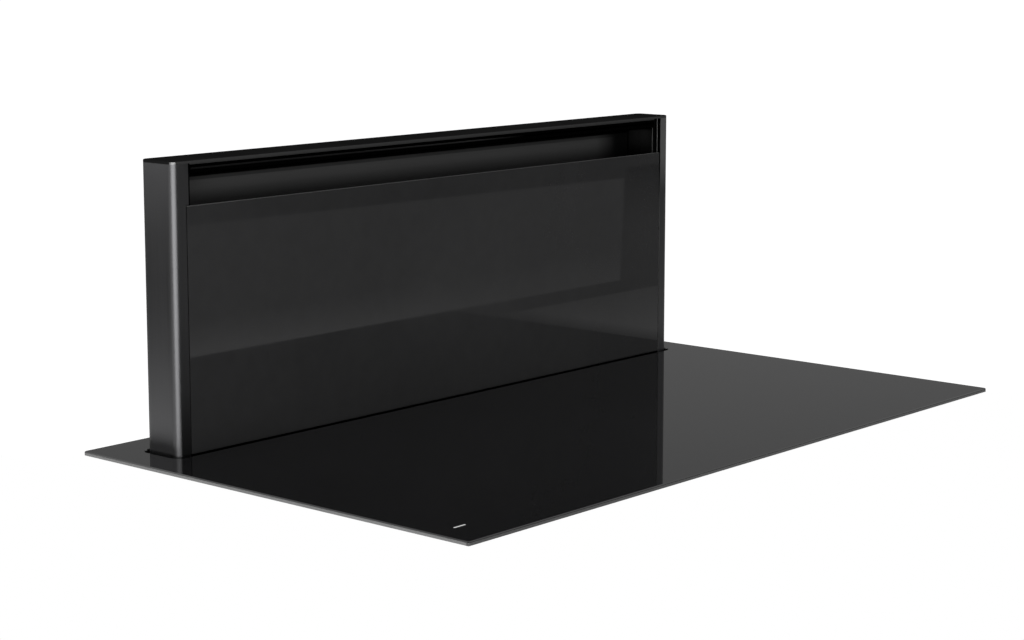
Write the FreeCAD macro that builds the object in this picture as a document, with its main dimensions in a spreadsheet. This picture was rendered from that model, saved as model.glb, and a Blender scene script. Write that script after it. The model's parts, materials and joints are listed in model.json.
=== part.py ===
"""Pop-up downdraft hood in a hob glass, with the lift, blower and hob tray that hang under the worktop.

Frame: the origin lies on the worktop surface under the centre of the hob glass,
X points right, Y points to the back and Z points up. The tower stands fully raised.
"""
import FreeCAD
import Part
import Sketcher

import math
import os
from types import SimpleNamespace

# Driving dimensions in millimetres, one cell of the sheet each
SIZES = {
    # hob glass and its seat on the worktop
    "plate_width": 880.0,
    "plate_depth": 520.0,
    "plate_thick": 4.0,
    "plate_corner": 3.0,
    "plate_arris": 0.8,
    "seal_thick": 1.0,
    "seal_inset": 4.0,
    "seal_width": 12.0,
    # tower, raised
    "tower_rise": 293.0,
    "tower_depth": 48.0,
    "tower_end_margin": 42.5,
    "tower_back_margin": 46.5,
    "tower_corner": 8.0,
    "tower_tail": 110.0,
    "slot_gap": 5.0,
    "gasket_gap": 0.8,
    "gasket_thick": 4.0,
    "cap_thick": 3.0,
    "cap_round": 1.0,
    # side profiles and what they hold
    "profile_face": 17.0,
    "profile_wall": 2.5,
    "profile_lip": 9.0,
    "pane_thick": 4.0,
    "pane_gap": 1.5,
    "panel_recess": 0.5,
    "back_panel_thick": 2.5,
    "fit_gap": 0.5,
    # intake
    "intake_height": 42.0,
    "light_setback": 3.0,
    "light_depth": 10.0,
    "light_height": 10.0,
    "diffuser_depth": 8.0,
    "diffuser_thick": 1.5,
    "deflector_flat": 6.0,
    "deflector_thick": 1.0,
    "deflector_drop": 30.0,
    # grease filters
    "filter_height": 182.0,
    "filter_thick": 11.0,
    "filter_slot": 10.0,
    "filter_bar": 7.0,
    "filter_rim": 16.0,
    "ledge_depth": 14.0,
    "ledge_thick": 4.0,
    # lift
    "spindle_radius": 7.0,
    "spindle_overrun": 10.0,
    "journal_radius": 5.0,
    "journal_length": 14.0,
    "running_gap": 0.1,
    "nut_height": 30.0,
    "beam_depth": 10.0,
    "beam_height": 20.0,
    "shoe_width": 18.0,
    "shoe_height": 30.0,
    "shoe_drop": 12.0,
    "slide_gap": 0.3,
    "rail_web": 2.0,
    "rail_flange": 2.5,
    "rail_depth": 10.0,
    "rail_drop": 10.0,
    "park_gap": 12.0,
    "gearbox_width": 42.0,
    "gearbox_depth": 43.0,
    "angle_gear_height": 60.0,
    "lift_gear_width": 68.0,
    "lift_gear_height": 58.0,
    "lift_motor_radius": 18.0,
    "lift_motor_length": 70.0,
    "shaft_height": 30.0,
    # sheet housing
    "housing_side_gap": 16.0,
    "housing_face_gap": 6.5,
    "sheet": 1.5,
    "flange": 15.0,
    "inlet_radius": 86.0,
    # blower on the front of the housing
    "blower_offset": -60.0,
    "blower_drop": 300.0,
    "blower_width": 170.0,
    "blower_sheet": 1.2,
    "scroll_radius": 112.0,
    "scroll_step": 14.0,
    "throat_height": 105.0,
    "throat_reach": 165.0,
    "seam": 6.0,
    "plate_rim": 24.0,
    "impeller_radius": 100.0,
    "impeller_gap": 6.0,
    "impeller_disc": 2.0,
    "blade_length": 18.0,
    "blade_thick": 1.4,
    "blade_sweep": 9.0,
    "blade_count": 36,
    "impeller_boss": 12.0,
    "boss_length": 22.0,
    "blower_motor_radius": 42.0,
    "blower_motor_length": 40.0,
    "motor_flange": 56.0,
    "motor_flange_thick": 3.0,
    "motor_shaft_radius": 4.0,
    # outlet
    "collar_radius": 75.0,
    "collar_wall": 1.5,
    "collar_length": 82.0,
    "collar_plate": 164.0,
    "collar_plate_thick": 3.0,
    "flap_gap": 1.2,
    "flap_thick": 1.2,
    "flap_pin_radius": 2.0,
    "flap_pin_setback": 7.0,
    "knuckle_radius": 4.0,
    "knuckle_length": 28.0,
    "knuckle_gap": 1.0,
    # control box
    "box_gap": 11.5,
    "box_height": 120.0,
    "box_depth": 60.0,
    "box_wall": 2.0,
    "box_inset": 18.0,
    "box_drop": 90.0,
    "box_post_radius": 4.5,
    "gland_radius": 11.0,
    "gland_length": 18.0,
    "gland_stem_radius": 8.0,
    "gland_bore_radius": 5.0,
    # hob tray and what it holds
    "tray_depth": 57.0,
    "tray_margin": 25.0,
    "tray_sheet": 1.0,
    "coil_gap": 6.0,
    "coil_eye": 22.0,
    "coil_thick": 8.0,
    "coil_plate_thick": 1.5,
    "coil_plate_inset": 12.0,
    "coil_post_radius": 5.0,
    "touch_depth": 40.0,
    "touch_width": 240.0,
    "board_thick": 1.6,
    "power_board_width": 300.0,
    "power_board_depth": 150.0,
    "power_board_lift": 6.0,
    "heatsink_height": 24.0,
    "heatsink_fin": 3.0,
    "fan_side": 80.0,
    "fan_height": 25.0,
    "fan_wall": 2.0,
    "fan_hub": 15.0,
    "fan_floor": 3.0,
    "fan_gap": 1.0,
    "fan_blades": 7,
    "vent_slot": 4.0,
    "vent_length": 26.0,
    "vent_count": 14,
    "clip_width": 20.0,
    "clip_sheet": 1.2,
    "clip_bow": 3.1,
    "clip_tab": 12.0,
    "clip_length": 30.0,
    "clip_drop": 6.0,
    # pan-head screws
    "screw_radius": 1.8,
    "screw_length": 6.0,
    "screw_head_radius": 3.8,
    "screw_head_height": 2.2,
    "screw_gap": 0.1,
}

doc = FreeCAD.newDocument("downdraft_hood")
sheet = doc.addObject("Spreadsheet::Sheet", "Sizes")
for row, (alias, number) in enumerate(SIZES.items(), 1):
    sheet.set(f"A{row}", alias.replace("_", " "))
    sheet.set(f"B{row}", str(number))
    sheet.setAlias(f"B{row}", alias)
doc.recompute()


class Length:
    """A length worked out from the sheet: its value now, and its text for an expression."""

    def __init__(self, value, text):
        self.value = value
        self.text = text

    def joined(self, sign, other, value):
        return Length(value, f"({self.text} {sign} {other.text})")

    def __add__(self, other):
        other = length(other)
        return self.joined("+", other, self.value + other.value)

    def __sub__(self, other):
        other = length(other)
        return self.joined("-", other, self.value - other.value)

    def __mul__(self, other):
        other = length(other)
        return self.joined("*", other, self.value * other.value)

    def __truediv__(self, other):
        other = length(other)
        return self.joined("/", other, self.value / other.value)

    def __radd__(self, other):
        return length(other) + self

    def __rsub__(self, other):
        return length(other) - self

    def __rmul__(self, other):
        return length(other) * self

    def __neg__(self):
        return length(0.0) - self


def length(size):
    """Any number as a Length."""
    if isinstance(size, Length):
        return size
    return Length(float(size), repr(float(size)))


S = SimpleNamespace(**{alias: Length(float(sheet.get(alias)), f"Sizes.{alias}") for alias in SIZES})


# Helpers that make bound document objects
def bind(thing, prop, size):
    """Ties one property to the sheet."""
    thing.setExpression(prop, length(size).text)


def box(x, y, z):
    """A block between the low and high ends of x, y and z."""
    made = doc.addObject("Part::Box", "block")
    for side, axis, (low, high) in zip(("Length", "Width", "Height"), "xyz", (x, y, z)):
        bind(made, side, high - length(low))
        bind(made, f"Placement.Base.{axis}", low)
    return made


AXIS_TURN = {
    "x": FreeCAD.Rotation(FreeCAD.Vector(0, 1, 0), 90),
    "y": FreeCAD.Rotation(FreeCAD.Vector(1, 0, 0), -90),
    "z": FreeCAD.Rotation(),
}
OTHER_AXES = {"x": "yz", "y": "xz", "z": "xy"}


def rod(axis, low, high, radius, first, second):
    """A cylinder along an axis from low to high, with its centre line at the other two coordinates."""
    made = doc.addObject("Part::Cylinder", "rod")
    made.Placement = FreeCAD.Placement(FreeCAD.Vector(), AXIS_TURN[axis])
    bind(made, "Radius", radius)
    bind(made, "Height", high - length(low))
    bind(made, f"Placement.Base.{axis}", low)
    for other, place in zip(OTHER_AXES[axis], (first, second)):
        bind(made, f"Placement.Base.{other}", place)
    return made


def cut(base, tool):
    made = doc.addObject("Part::Cut", "cut")
    made.Base = base
    made.Tool = tool
    return made


def common(base, tool):
    made = doc.addObject("Part::Common", "common")
    made.Base = base
    made.Tool = tool
    return made


def fuse(*pieces):
    made = doc.addObject("Part::MultiFuse", "fused")
    made.Shapes = list(pieces)
    return made


def group(*pieces):
    """Separate solids held together in one object."""
    made = doc.addObject("Part::Compound", "group")
    made.Links = list(pieces)
    return made


nodes = {}


def node(label, made):
    """Names a finished sub-part and keeps it for the export."""
    made.Label = label
    nodes[label] = made
    return made


def new_body(label):
    return node(label, doc.addObject("PartDesign::Body", label))


def sketch_on(body, plane, offset):
    """A sketch on one of the body's own origin planes, moved along the plane's normal."""
    sketch = body.newObject("Sketcher::SketchObject", "outline")
    support = next(item for item in body.Origin.OriginFeatures if item.Role == plane)
    sketch.AttachmentSupport = [(support, "")]
    sketch.MapMode = "FlatFace"
    bind(sketch, "AttachmentOffset.Base.z", offset)
    return sketch


def hold_point(sketch, item, point, place):
    """Holds a point of a sketched line or circle at a place measured from the sketch's origin."""
    for kind, size in zip(("DistanceX", "DistanceY"), place):
        size = length(size)
        index = sketch.addConstraint(Sketcher.Constraint(kind, -1, 1, item, point, size.value))
        sketch.setExpression(f"Constraints[{index}]", size.text)


def draw_polygon(sketch, corners):
    """A closed outline of straight lines, each corner tied to the sheet."""
    corners = [(length(u), length(v)) for u, v in corners]
    points = [FreeCAD.Vector(u.value, v.value, 0) for u, v in corners]
    lines = []
    for start, end in zip(points, points[1:] + points[:1]):
        lines.append(sketch.addGeometry(Part.LineSegment(start, end), False))
    for line, following in zip(lines, lines[1:] + lines[:1]):
        sketch.addConstraint(Sketcher.Constraint("Coincident", line, 2, following, 1))
    for line, corner in zip(lines, corners):
        hold_point(sketch, line, 1, corner)


def draw_circle(sketch, radius):
    """A circle about the sketch's origin."""
    radius = length(radius)
    centre = FreeCAD.Vector()
    circle = sketch.addGeometry(Part.Circle(centre, FreeCAD.Vector(0, 0, 1), radius.value), False)
    sketch.addConstraint(Sketcher.Constraint("Coincident", circle, 3, -1, 1))
    index = sketch.addConstraint(Sketcher.Constraint("Radius", circle, radius.value))
    sketch.setExpression(f"Constraints[{index}]", radius.text)


def rectangle(x, y):
    return [(x[0], y[0]), (x[1], y[0]), (x[1], y[1]), (x[0], y[1])]


def pad(body, plane, corners, low, high):
    """Pads an outline between two heights along the plane's axis. The XZ plane faces backwards along Y."""
    start = -length(high) if plane == "XZ_Plane" else low
    sketch = sketch_on(body, plane, start)
    draw_polygon(sketch, corners)
    made = body.newObject("PartDesign::Pad", "pad")
    made.Profile = sketch
    bind(made, "Length", high - length(low))
    return made


def disc(body, radius, low, high, hole=None):
    """Pads a disc or ring about the body's Z axis."""
    sketch = sketch_on(body, "XY_Plane", low)
    draw_circle(sketch, radius)
    if hole is not None:
        draw_circle(sketch, hole)
    made = body.newObject("PartDesign::Pad", "disc")
    made.Profile = sketch
    bind(made, "Length", high - length(low))
    return made


def pocket(body, plane, corners, low, high):
    """Cuts an outline out of the body between two heights along the plane's axis."""
    start = -length(low) if plane == "XZ_Plane" else high
    sketch = sketch_on(body, plane, start)
    draw_polygon(sketch, corners)
    made = body.newObject("PartDesign::Pocket", "pocket")
    made.Profile = sketch
    bind(made, "Length", high - length(low))
    return made


def dress(body, kind, prop, base, wanted, size):
    """A fillet or chamfer on the edges of the last feature that pass a test."""
    doc.recompute()
    names = [f"Edge{n}" for n, edge in enumerate(base.Shape.Edges, 1) if wanted(edge)]
    made = body.newObject(f"PartDesign::{kind}", kind.lower())
    made.Base = (base, names)
    bind(made, prop, size)
    return made


TOUCH = 1e-4


def upright_at(places):
    """Picks the edges along Z that stand at the given places."""
    spots = [(length(x).value, length(y).value) for x, y in places]

    def wanted(edge):
        bounds = edge.BoundBox
        straight_up = bounds.XLength < TOUCH and bounds.YLength < TOUCH
        at = (bounds.Center.x, bounds.Center.y)
        return straight_up and any(math.dist(at, spot) < TOUCH for spot in spots)

    return wanted


def level_at(height):
    """Picks the edges that lie wholly at one height."""
    level = length(height).value

    def wanted(edge):
        return abs(edge.BoundBox.ZMin - level) < TOUCH and abs(edge.BoundBox.ZMax - level) < TOUCH

    return wanted


def round_pattern(body, feature, count, axis):
    """Repeats a feature round one of the body's axes."""
    pattern = body.newObject("PartDesign::PolarPattern", "round")
    support = next(item for item in body.Origin.OriginFeatures if item.Role == axis)
    pattern.Originals = [feature]
    pattern.Axis = (support, [""])
    pattern.Angle = 360
    bind(pattern, "Occurrences", count)
    body.Tip = pattern


# Places worked out from the driving dimensions
plate_x = S.plate_width / 2
plate_y = S.plate_depth / 2
glass_bottom = S.seal_thick
glass_top = S.seal_thick + S.plate_thick
gasket_bottom = glass_bottom - S.gasket_thick

tower_x = plate_x - S.tower_end_margin
tower_back = plate_y - S.tower_back_margin
tower_front = tower_back - S.tower_depth
tower_middle = tower_back - S.tower_depth / 2
cap_top = glass_top + S.tower_rise
cap_bottom = cap_top - S.cap_thick
tower_bottom = glass_top - S.tower_tail
parked_bottom = tower_bottom - S.tower_rise

pane_face = tower_front + S.panel_recess
pane_rear = pane_face + S.pane_thick
panel_rear = tower_back - S.panel_recess
panel_face = panel_rear - S.back_panel_thick
panel_x = tower_x - S.profile_face - S.pane_gap
duct_x = tower_x - S.profile_face - S.profile_lip
channel_x = tower_x - S.profile_wall
channel_front = pane_rear + S.profile_wall
channel_back = panel_face - S.profile_wall
pane_top = cap_bottom - S.intake_height

housing_x = tower_x + S.housing_side_gap
housing_front = tower_front - S.housing_face_gap
housing_back = tower_back + S.housing_face_gap
front_face = housing_front - S.sheet
back_face = housing_back + S.sheet
floor_top = parked_bottom - S.park_gap - S.lift_motor_length - S.lift_gear_height
floor_bottom = floor_top - S.sheet
flange_x = housing_x - S.flange

spindle_x = (duct_x + channel_x) / 2
angle_gear_top = floor_top + S.angle_gear_height
shaft_z = floor_top + S.shaft_height

blower_x = S.blower_offset
blower_z = -S.blower_drop
scroll_back = front_face - S.blower_sheet
scroll_front = scroll_back - S.blower_width
plate_front = scroll_front - S.blower_sheet
axle_x = blower_x + S.scroll_step / 2
axle_z = blower_z - S.scroll_step / 2
scroll_floor = blower_z - S.scroll_radius - S.scroll_step * 4
outlet_x = blower_x + S.throat_reach
outlet_y = (scroll_front + scroll_back) / 2
outlet_z = scroll_floor + S.throat_height / 2

tray_x = plate_x - S.tray_margin
tray_front = -plate_y + S.tray_margin
tray_back = front_face
tray_bottom = glass_bottom - S.tray_depth
tray_floor = tray_bottom + S.tray_sheet

BOTH_SIDES = {"left": -1, "right": 1}


def sided(side, low, high):
    """A span of X on the right, or its mirror on the left."""
    if side > 0:
        return (low, high)
    return (-length(high), -length(low))


def span(half):
    return (-length(half), half)


def about(middle, width):
    return (middle - width / 2, middle + width / 2)


# Screws: each place is an axis, a side that the head faces, and the seat's coordinates
screw_seats = []


def screw_at(axis, facing, x, y, z):
    screw_seats.append((axis, facing, x, y, z))
    return axis, facing, x, y, z


def screw_part(seat, radius, outside, inside):
    """A cylinder on a screw's line, from outside its seat to inside it."""
    axis, facing, *place = seat
    position = "xyz".index(axis)
    across = place[:position] + place[position + 1:]
    ends = (place[position] + length(outside) * facing, place[position] - length(inside) * facing)
    low, high = ends if facing < 0 else ends[::-1]
    return rod(axis, low, high, radius, *across)


def screw_holes(seats):
    """Clearance holes for a set of screws, as one tool."""
    radius = S.screw_radius + S.screw_gap
    return group(*[screw_part(seat, radius, S.screw_length, S.screw_length + S.sheet) for seat in seats])


def build_screws():
    made = []
    for seat in screw_seats:
        head = screw_part(seat, S.screw_head_radius, S.screw_head_height, 0.0)
        shank = screw_part(seat, S.screw_radius, 0.0, S.screw_length)
        made.append(fuse(head, shank))
    node("case_screws", group(*made))


def spaced(first, last, count):
    """Evenly spaced places from first to last."""
    step = (last - length(first)) / (count - 1)
    return [first + step * n for n in range(count)]


# Hob glass, its seal and the gasket round the tower
def build_glass():
    body = new_body("hob_glass")
    slot_x = tower_x + S.slot_gap
    slot_y = (tower_front - S.slot_gap, tower_back + S.slot_gap)
    outer = rectangle(span(plate_x), span(plate_y))
    inner = rectangle(span(slot_x), slot_y)
    pad(body, "XY_Plane", outer, glass_bottom, glass_top)
    slot = pocket(body, "XY_Plane", inner, glass_bottom, glass_top)
    rounded = dress(body, "Fillet", "Radius", slot, upright_at(outer), S.plate_corner)
    rounded = dress(body, "Fillet", "Radius", rounded, upright_at(inner), S.tower_corner + S.slot_gap)
    dress(body, "Chamfer", "Size", rounded, level_at(glass_top), S.plate_arris)


def build_seal():
    outer_x = plate_x - S.seal_inset
    outer_y = plate_y - S.seal_inset
    outer = box(span(outer_x), span(outer_y), (0.0, glass_bottom))
    inner = box(span(outer_x - S.seal_width), span(outer_y - S.seal_width), (0.0, glass_bottom))
    node("worktop_seal", cut(outer, inner))


def build_gasket():
    body = new_body("slot_gasket")
    hole_x = tower_x + S.gasket_gap
    hole_y = (tower_front - S.gasket_gap, tower_back + S.gasket_gap)
    outer = rectangle(span(housing_x), (housing_front, housing_back))
    inner = rectangle(span(hole_x), hole_y)
    pad(body, "XY_Plane", outer, gasket_bottom, glass_bottom)
    hole = pocket(body, "XY_Plane", inner, gasket_bottom, glass_bottom)
    dress(body, "Fillet", "Radius", hole, upright_at(inner), S.tower_corner + S.gasket_gap)


# Tower
def build_profile(name, side):
    """Extruded side of the tower, a channel with ledges for the front pane and the back panel."""
    body = new_body(f"tower_profile_{name}")
    depths = [
        (0.0, tower_front),
        (S.profile_face, tower_front),
        (S.profile_face, pane_rear),
        (S.profile_face + S.profile_lip, pane_rear),
        (S.profile_face + S.profile_lip, channel_front),
        (S.profile_wall, channel_front),
        (S.profile_wall, channel_back),
        (S.profile_face + S.profile_lip, channel_back),
        (S.profile_face + S.profile_lip, panel_face),
        (S.profile_face, panel_face),
        (S.profile_face, tower_back),
        (0.0, tower_back),
    ]
    corners = [((tower_x - inward) * side, y) for inward, y in depths]
    bar = pad(body, "XY_Plane", corners, tower_bottom, cap_bottom)
    dress(body, "Fillet", "Radius", bar, upright_at([corners[0], corners[-1]]), S.tower_corner)


def build_cap():
    body = new_body("tower_cap")
    outline = rectangle(span(tower_x), (tower_front, tower_back))
    slab = pad(body, "XY_Plane", outline, cap_bottom, cap_top)
    rounded = dress(body, "Fillet", "Radius", slab, upright_at(outline), S.tower_corner)
    dress(body, "Fillet", "Radius", rounded, level_at(cap_top), S.cap_round)


def build_panes():
    pane_bottom = tower_bottom + S.fit_gap
    node("front_pane", box(span(panel_x), (pane_face, pane_rear), (pane_bottom, pane_top)))
    node("back_panel", box(span(panel_x), (panel_face, panel_rear), (tower_bottom, cap_bottom)))


def build_intake():
    """Light bar under the cap, and the curved sheet behind it that turns the air down."""
    inside_x = duct_x - S.fit_gap
    light_front = tower_front + S.light_setback
    light_back = light_front + S.light_depth
    light_bottom = cap_bottom - S.light_height
    light_middle = light_front + S.light_depth / 2
    diffuser_z = (light_bottom - S.diffuser_thick, light_bottom)
    node("light_bar", box(span(duct_x), (light_front, light_back), (light_bottom, cap_bottom)))
    node("light_diffuser", box(span(inside_x), about(light_middle, S.diffuser_depth), diffuser_z))

    bend_y = light_back + S.deflector_flat
    outer = panel_face - bend_y
    inner = outer - S.deflector_thick
    bend_z = cap_bottom - outer
    ring = cut(
        rod("x", -inside_x, inside_x, outer, bend_y, bend_z),
        rod("x", -inside_x, inside_x, inner, bend_y, bend_z),
    )
    quarter = common(ring, box(span(inside_x), (bend_y, panel_face), (bend_z, cap_bottom)))
    flat = box(span(inside_x), (light_back, bend_y), (cap_bottom - S.deflector_thick, cap_bottom))
    apron_z = (pane_top - S.deflector_drop, bend_z)
    apron = box(span(inside_x), (panel_face - S.deflector_thick, panel_face), apron_z)
    node("intake_deflector", fuse(quarter, flat, apron))


def build_filters():
    """Two slotted grease filters that lean back on a ledge between the side profiles."""
    top = pane_top - S.deflector_drop - S.fit_gap
    bottom = top - S.filter_height
    front = pane_rear + S.fit_gap
    back = panel_face - S.fit_gap
    outline = [
        (front, bottom),
        (front + S.filter_thick, bottom),
        (back, top),
        (back - S.filter_thick, top),
    ]
    pitch = S.filter_slot + S.filter_bar
    width = duct_x - S.fit_gap * 2
    count = int((width.value - 2 * S.filter_rim.value + S.filter_bar.value) // pitch.value)
    first = S.fit_gap + (width - pitch * count + S.filter_bar) / 2
    for name, side in BOTH_SIDES.items():
        body = new_body(f"grease_filter_{name}")
        low, high = sided(side, S.fit_gap, S.fit_gap + width)
        pad(body, "YZ_Plane", outline, low, high)
        slot_x = sided(side, first, first + S.filter_slot)
        slot_z = (bottom + S.filter_rim, top - S.filter_rim)
        slot = pocket(body, "XZ_Plane", rectangle(slot_x, slot_z), front, back)
        slots = body.newObject("PartDesign::LinearPattern", "slots")
        along = next(item for item in body.Origin.OriginFeatures if item.Role == "X_Axis")
        slots.Originals = [slot]
        slots.Direction = (along, [""])
        slots.Reversed = side < 0
        slots.Occurrences = count
        bind(slots, "Length", pitch * (count - 1))
        body.Tip = slots
    ledge_z = (bottom - S.ledge_thick, bottom)
    node("filter_ledge", box(span(duct_x), (front, front + S.ledge_depth), ledge_z))


# Lift: shoes and nuts on the tower, rails, spindles and gears in the housing
def build_carriage():
    nut_y = (channel_front + S.fit_gap, channel_back - S.fit_gap)
    nut_z = (tower_bottom, tower_bottom + S.nut_height)
    shoe_tip = housing_x - S.rail_web - S.slide_gap
    shoe_y = about(tower_middle, S.shoe_width)
    upper_top = gasket_bottom - S.shoe_drop
    lower_top = tower_bottom + S.shoe_height + S.fit_gap
    for name, side in BOTH_SIDES.items():
        block = box(sided(side, duct_x, channel_x), nut_y, nut_z)
        bore_radius = S.spindle_radius + S.running_gap
        bore = rod("z", *nut_z, bore_radius, spindle_x * side, tower_middle)
        node(f"lift_nut_{name}", cut(block, bore))
        shoes = []
        for top in (upper_top, lower_top):
            shoes.append(box(sided(side, tower_x, shoe_tip), shoe_y, (top - S.shoe_height, top)))
        node(f"guide_shoes_{name}", group(*shoes))
    beam_z = (tower_bottom, tower_bottom + S.beam_height)
    node("carriage_beam", box(span(duct_x), about(tower_middle, S.beam_depth), beam_z))


def build_rails():
    """Channels on the housing sides that the guide shoes run in."""
    inner = S.shoe_width / 2 + S.slide_gap
    outer = inner + S.rail_flange
    top = gasket_bottom - S.rail_drop / 2
    bottom = parked_bottom - S.rail_drop
    for name, side in BOTH_SIDES.items():
        depths = [
            (0.0, -outer),
            (S.rail_depth, -outer),
            (S.rail_depth, -inner),
            (S.rail_web, -inner),
            (S.rail_web, inner),
            (S.rail_depth, inner),
            (S.rail_depth, outer),
            (0.0, outer),
        ]
        corners = [((housing_x - inward) * side, tower_middle + y) for inward, y in depths]
        pad(new_body(f"guide_rail_{name}"), "XY_Plane", corners, bottom, top)


def build_drive():
    gear_y = about(tower_middle, S.gearbox_depth)
    spindle_top = tower_bottom + S.nut_height + S.spindle_overrun
    journal_bottom = angle_gear_top - S.journal_length
    bore_radius = S.journal_radius + S.running_gap
    gear_inner = spindle_x - S.gearbox_width / 2
    shaft_end = gear_inner + S.journal_length
    for name, side in BOTH_SIDES.items():
        at_x = spindle_x * side
        thread = rod("z", angle_gear_top + S.slide_gap, spindle_top, S.spindle_radius, at_x, tower_middle)
        journal_top = angle_gear_top + S.slide_gap
        journal = rod("z", journal_bottom, journal_top, S.journal_radius, at_x, tower_middle)
        node(f"lift_spindle_{name}", fuse(thread, journal))
        case = box(about(at_x, S.gearbox_width), gear_y, (floor_top, angle_gear_top))
        up_low = journal_bottom - S.slide_gap
        up = rod("z", up_low, angle_gear_top, bore_radius, at_x, tower_middle)
        across = sided(side, gear_inner, shaft_end + S.slide_gap)
        in_x = rod("x", *across, bore_radius, tower_middle, shaft_z)
        node(f"angle_gearbox_{name}", cut(cut(case, up), in_x))
    node("cross_shaft", rod("x", -shaft_end, shaft_end, S.journal_radius, tower_middle, shaft_z))

    lift_x = span(S.lift_gear_width / 2)
    lift_top = floor_top + S.lift_gear_height
    case = box(lift_x, gear_y, (floor_top, lift_top))
    node("lift_gearbox", cut(case, rod("x", *lift_x, bore_radius, tower_middle, shaft_z)))
    can_top = lift_top + S.lift_motor_length
    node("lift_motor", rod("z", lift_top, can_top, S.lift_motor_radius, length(0.0), tower_middle))


# Sheet housing round the sunken tower
def build_housing():
    column_x = housing_x - S.flange / 2
    row_z = floor_top + S.flange / 2
    back_seats = []
    front_seats = []
    for side in BOTH_SIDES.values():
        for z in spaced(row_z, tray_bottom - S.flange, 5):
            back_seats.append(screw_at("y", 1, column_x * side, back_face, z))
            front_seats.append(screw_at("y", -1, column_x * side, front_face, z))
    for x in spaced(-flange_x + S.flange * 3, flange_x - S.flange * 3, 5):
        back_seats.append(screw_at("y", 1, x, back_face, row_z))
        front_seats.append(screw_at("y", -1, x, front_face, row_z))
    back_holes = screw_holes(back_seats)
    front_holes = screw_holes(front_seats)

    wide = span(housing_x + S.sheet)
    tall = (floor_bottom, glass_bottom)
    node("housing_back", cut(box(wide, (housing_back, back_face), tall), back_holes))
    inlet = rod("y", front_face, housing_front, S.inlet_radius, axle_x, axle_z)
    front = cut(box(wide, (front_face, housing_front), tall), inlet)
    node("housing_front", cut(front, group(front_holes, screw_holes(blower_seats()))))

    depth = (housing_front, housing_back)
    hollow_y = (housing_front + S.sheet, housing_back - S.sheet)
    lip_top = floor_top + S.flange
    pan = box(span(flange_x), depth, (floor_bottom, lip_top))
    hollow = box(span(flange_x), hollow_y, (floor_top, lip_top))
    node("housing_floor", cut(cut(cut(pan, hollow), back_holes), front_holes))
    for name, side in BOTH_SIDES.items():
        shell = box(sided(side, flange_x, housing_x + S.sheet), depth, tall)
        hollow = box(sided(side, flange_x, housing_x), hollow_y, (floor_top, glass_bottom))
        gasket_seat = box(sided(side, flange_x, housing_x), depth, (gasket_bottom, glass_bottom))
        walls = cut(cut(shell, hollow), gasket_seat)
        node(f"housing_{name}", cut(cut(walls, back_holes), front_holes))


# Blower: a sheet scroll with a forward-bladed wheel, drawing air through the housing front
def scroll_outline(grow, y):
    """Closed scroll outline of four tangent quarter arcs and a straight throat, grown outwards."""
    step = S.scroll_step.value
    x = blower_x.value
    z = blower_z.value
    mouth = outlet_x.value
    radii = [S.scroll_radius.value + grow + step * n for n in range(4)]
    centres = [(x + step, z), (x, z), (x, z - step), (x + step, z - step)]
    tongue_z = scroll_floor.value + S.throat_height.value + grow
    tongue = math.asin((tongue_z - z) / radii[0])
    turns = [tongue, 0.0, math.pi / 2, math.pi, 1.5 * math.pi]

    def on_arc(n, angle):
        across, up = centres[n]
        return FreeCAD.Vector(across + radii[n] * math.cos(angle), y, up + radii[n] * math.sin(angle))

    edges = []
    for n in range(4):
        middle = (turns[n] + turns[n + 1]) / 2
        arc = Part.Arc(on_arc(n, turns[n]), on_arc(n, middle), on_arc(n, turns[n + 1]))
        edges.append(arc.toShape())
    start = on_arc(0, turns[0])
    end = on_arc(3, turns[4])
    mouth_top = FreeCAD.Vector(mouth, y, start.z)
    mouth_bottom = FreeCAD.Vector(mouth, y, end.z)
    edges.append(Part.makeLine(end, mouth_bottom))
    edges.append(Part.makeLine(mouth_bottom, mouth_top))
    edges.append(Part.makeLine(mouth_top, start))
    return Part.Wire(edges)


def scroll_slab(grow, low, high):
    """The scroll outline as a slab between two places along Y."""
    face = Part.Face(scroll_outline(grow, low.value))
    return face.extrude(FreeCAD.Vector(0, high.value - low.value, 0))


def shaped(shape):
    """A document object for a shape that is worked out from the sheet's values."""
    made = doc.addObject("Part::Feature", "scroll")
    made.Shape = shape
    made.Placement = FreeCAD.Placement()
    return made


def blower_seats():
    """Screws at the corners of the blower's back plate, outside the scroll."""
    rim = S.plate_rim / 2
    left, right, low, high = blower_plate_span()
    return [("y", -1, x, scroll_back, z) for x in (left + rim, right - rim) for z in (low + rim, high - rim)]


def blower_plate_span():
    """The blower's back plate: its left, right, low and high edges."""
    left = blower_x + S.scroll_step - S.scroll_radius - S.scroll_step * 3 - S.plate_rim
    high = blower_z + S.scroll_radius + S.scroll_step + S.plate_rim
    return left, outlet_x, scroll_floor - S.plate_rim, high


def motor_seats():
    """Three screws round the blower motor's flange."""
    circle = (S.motor_flange + S.blower_motor_radius) / 2
    seats = []
    for n in range(3):
        angle = math.radians(90 + 120 * n)
        x = axle_x + circle * math.cos(angle)
        z = axle_z + circle * math.sin(angle)
        seats.append(("y", -1, x, plate_front - S.motor_flange_thick, z))
    return seats


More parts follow.
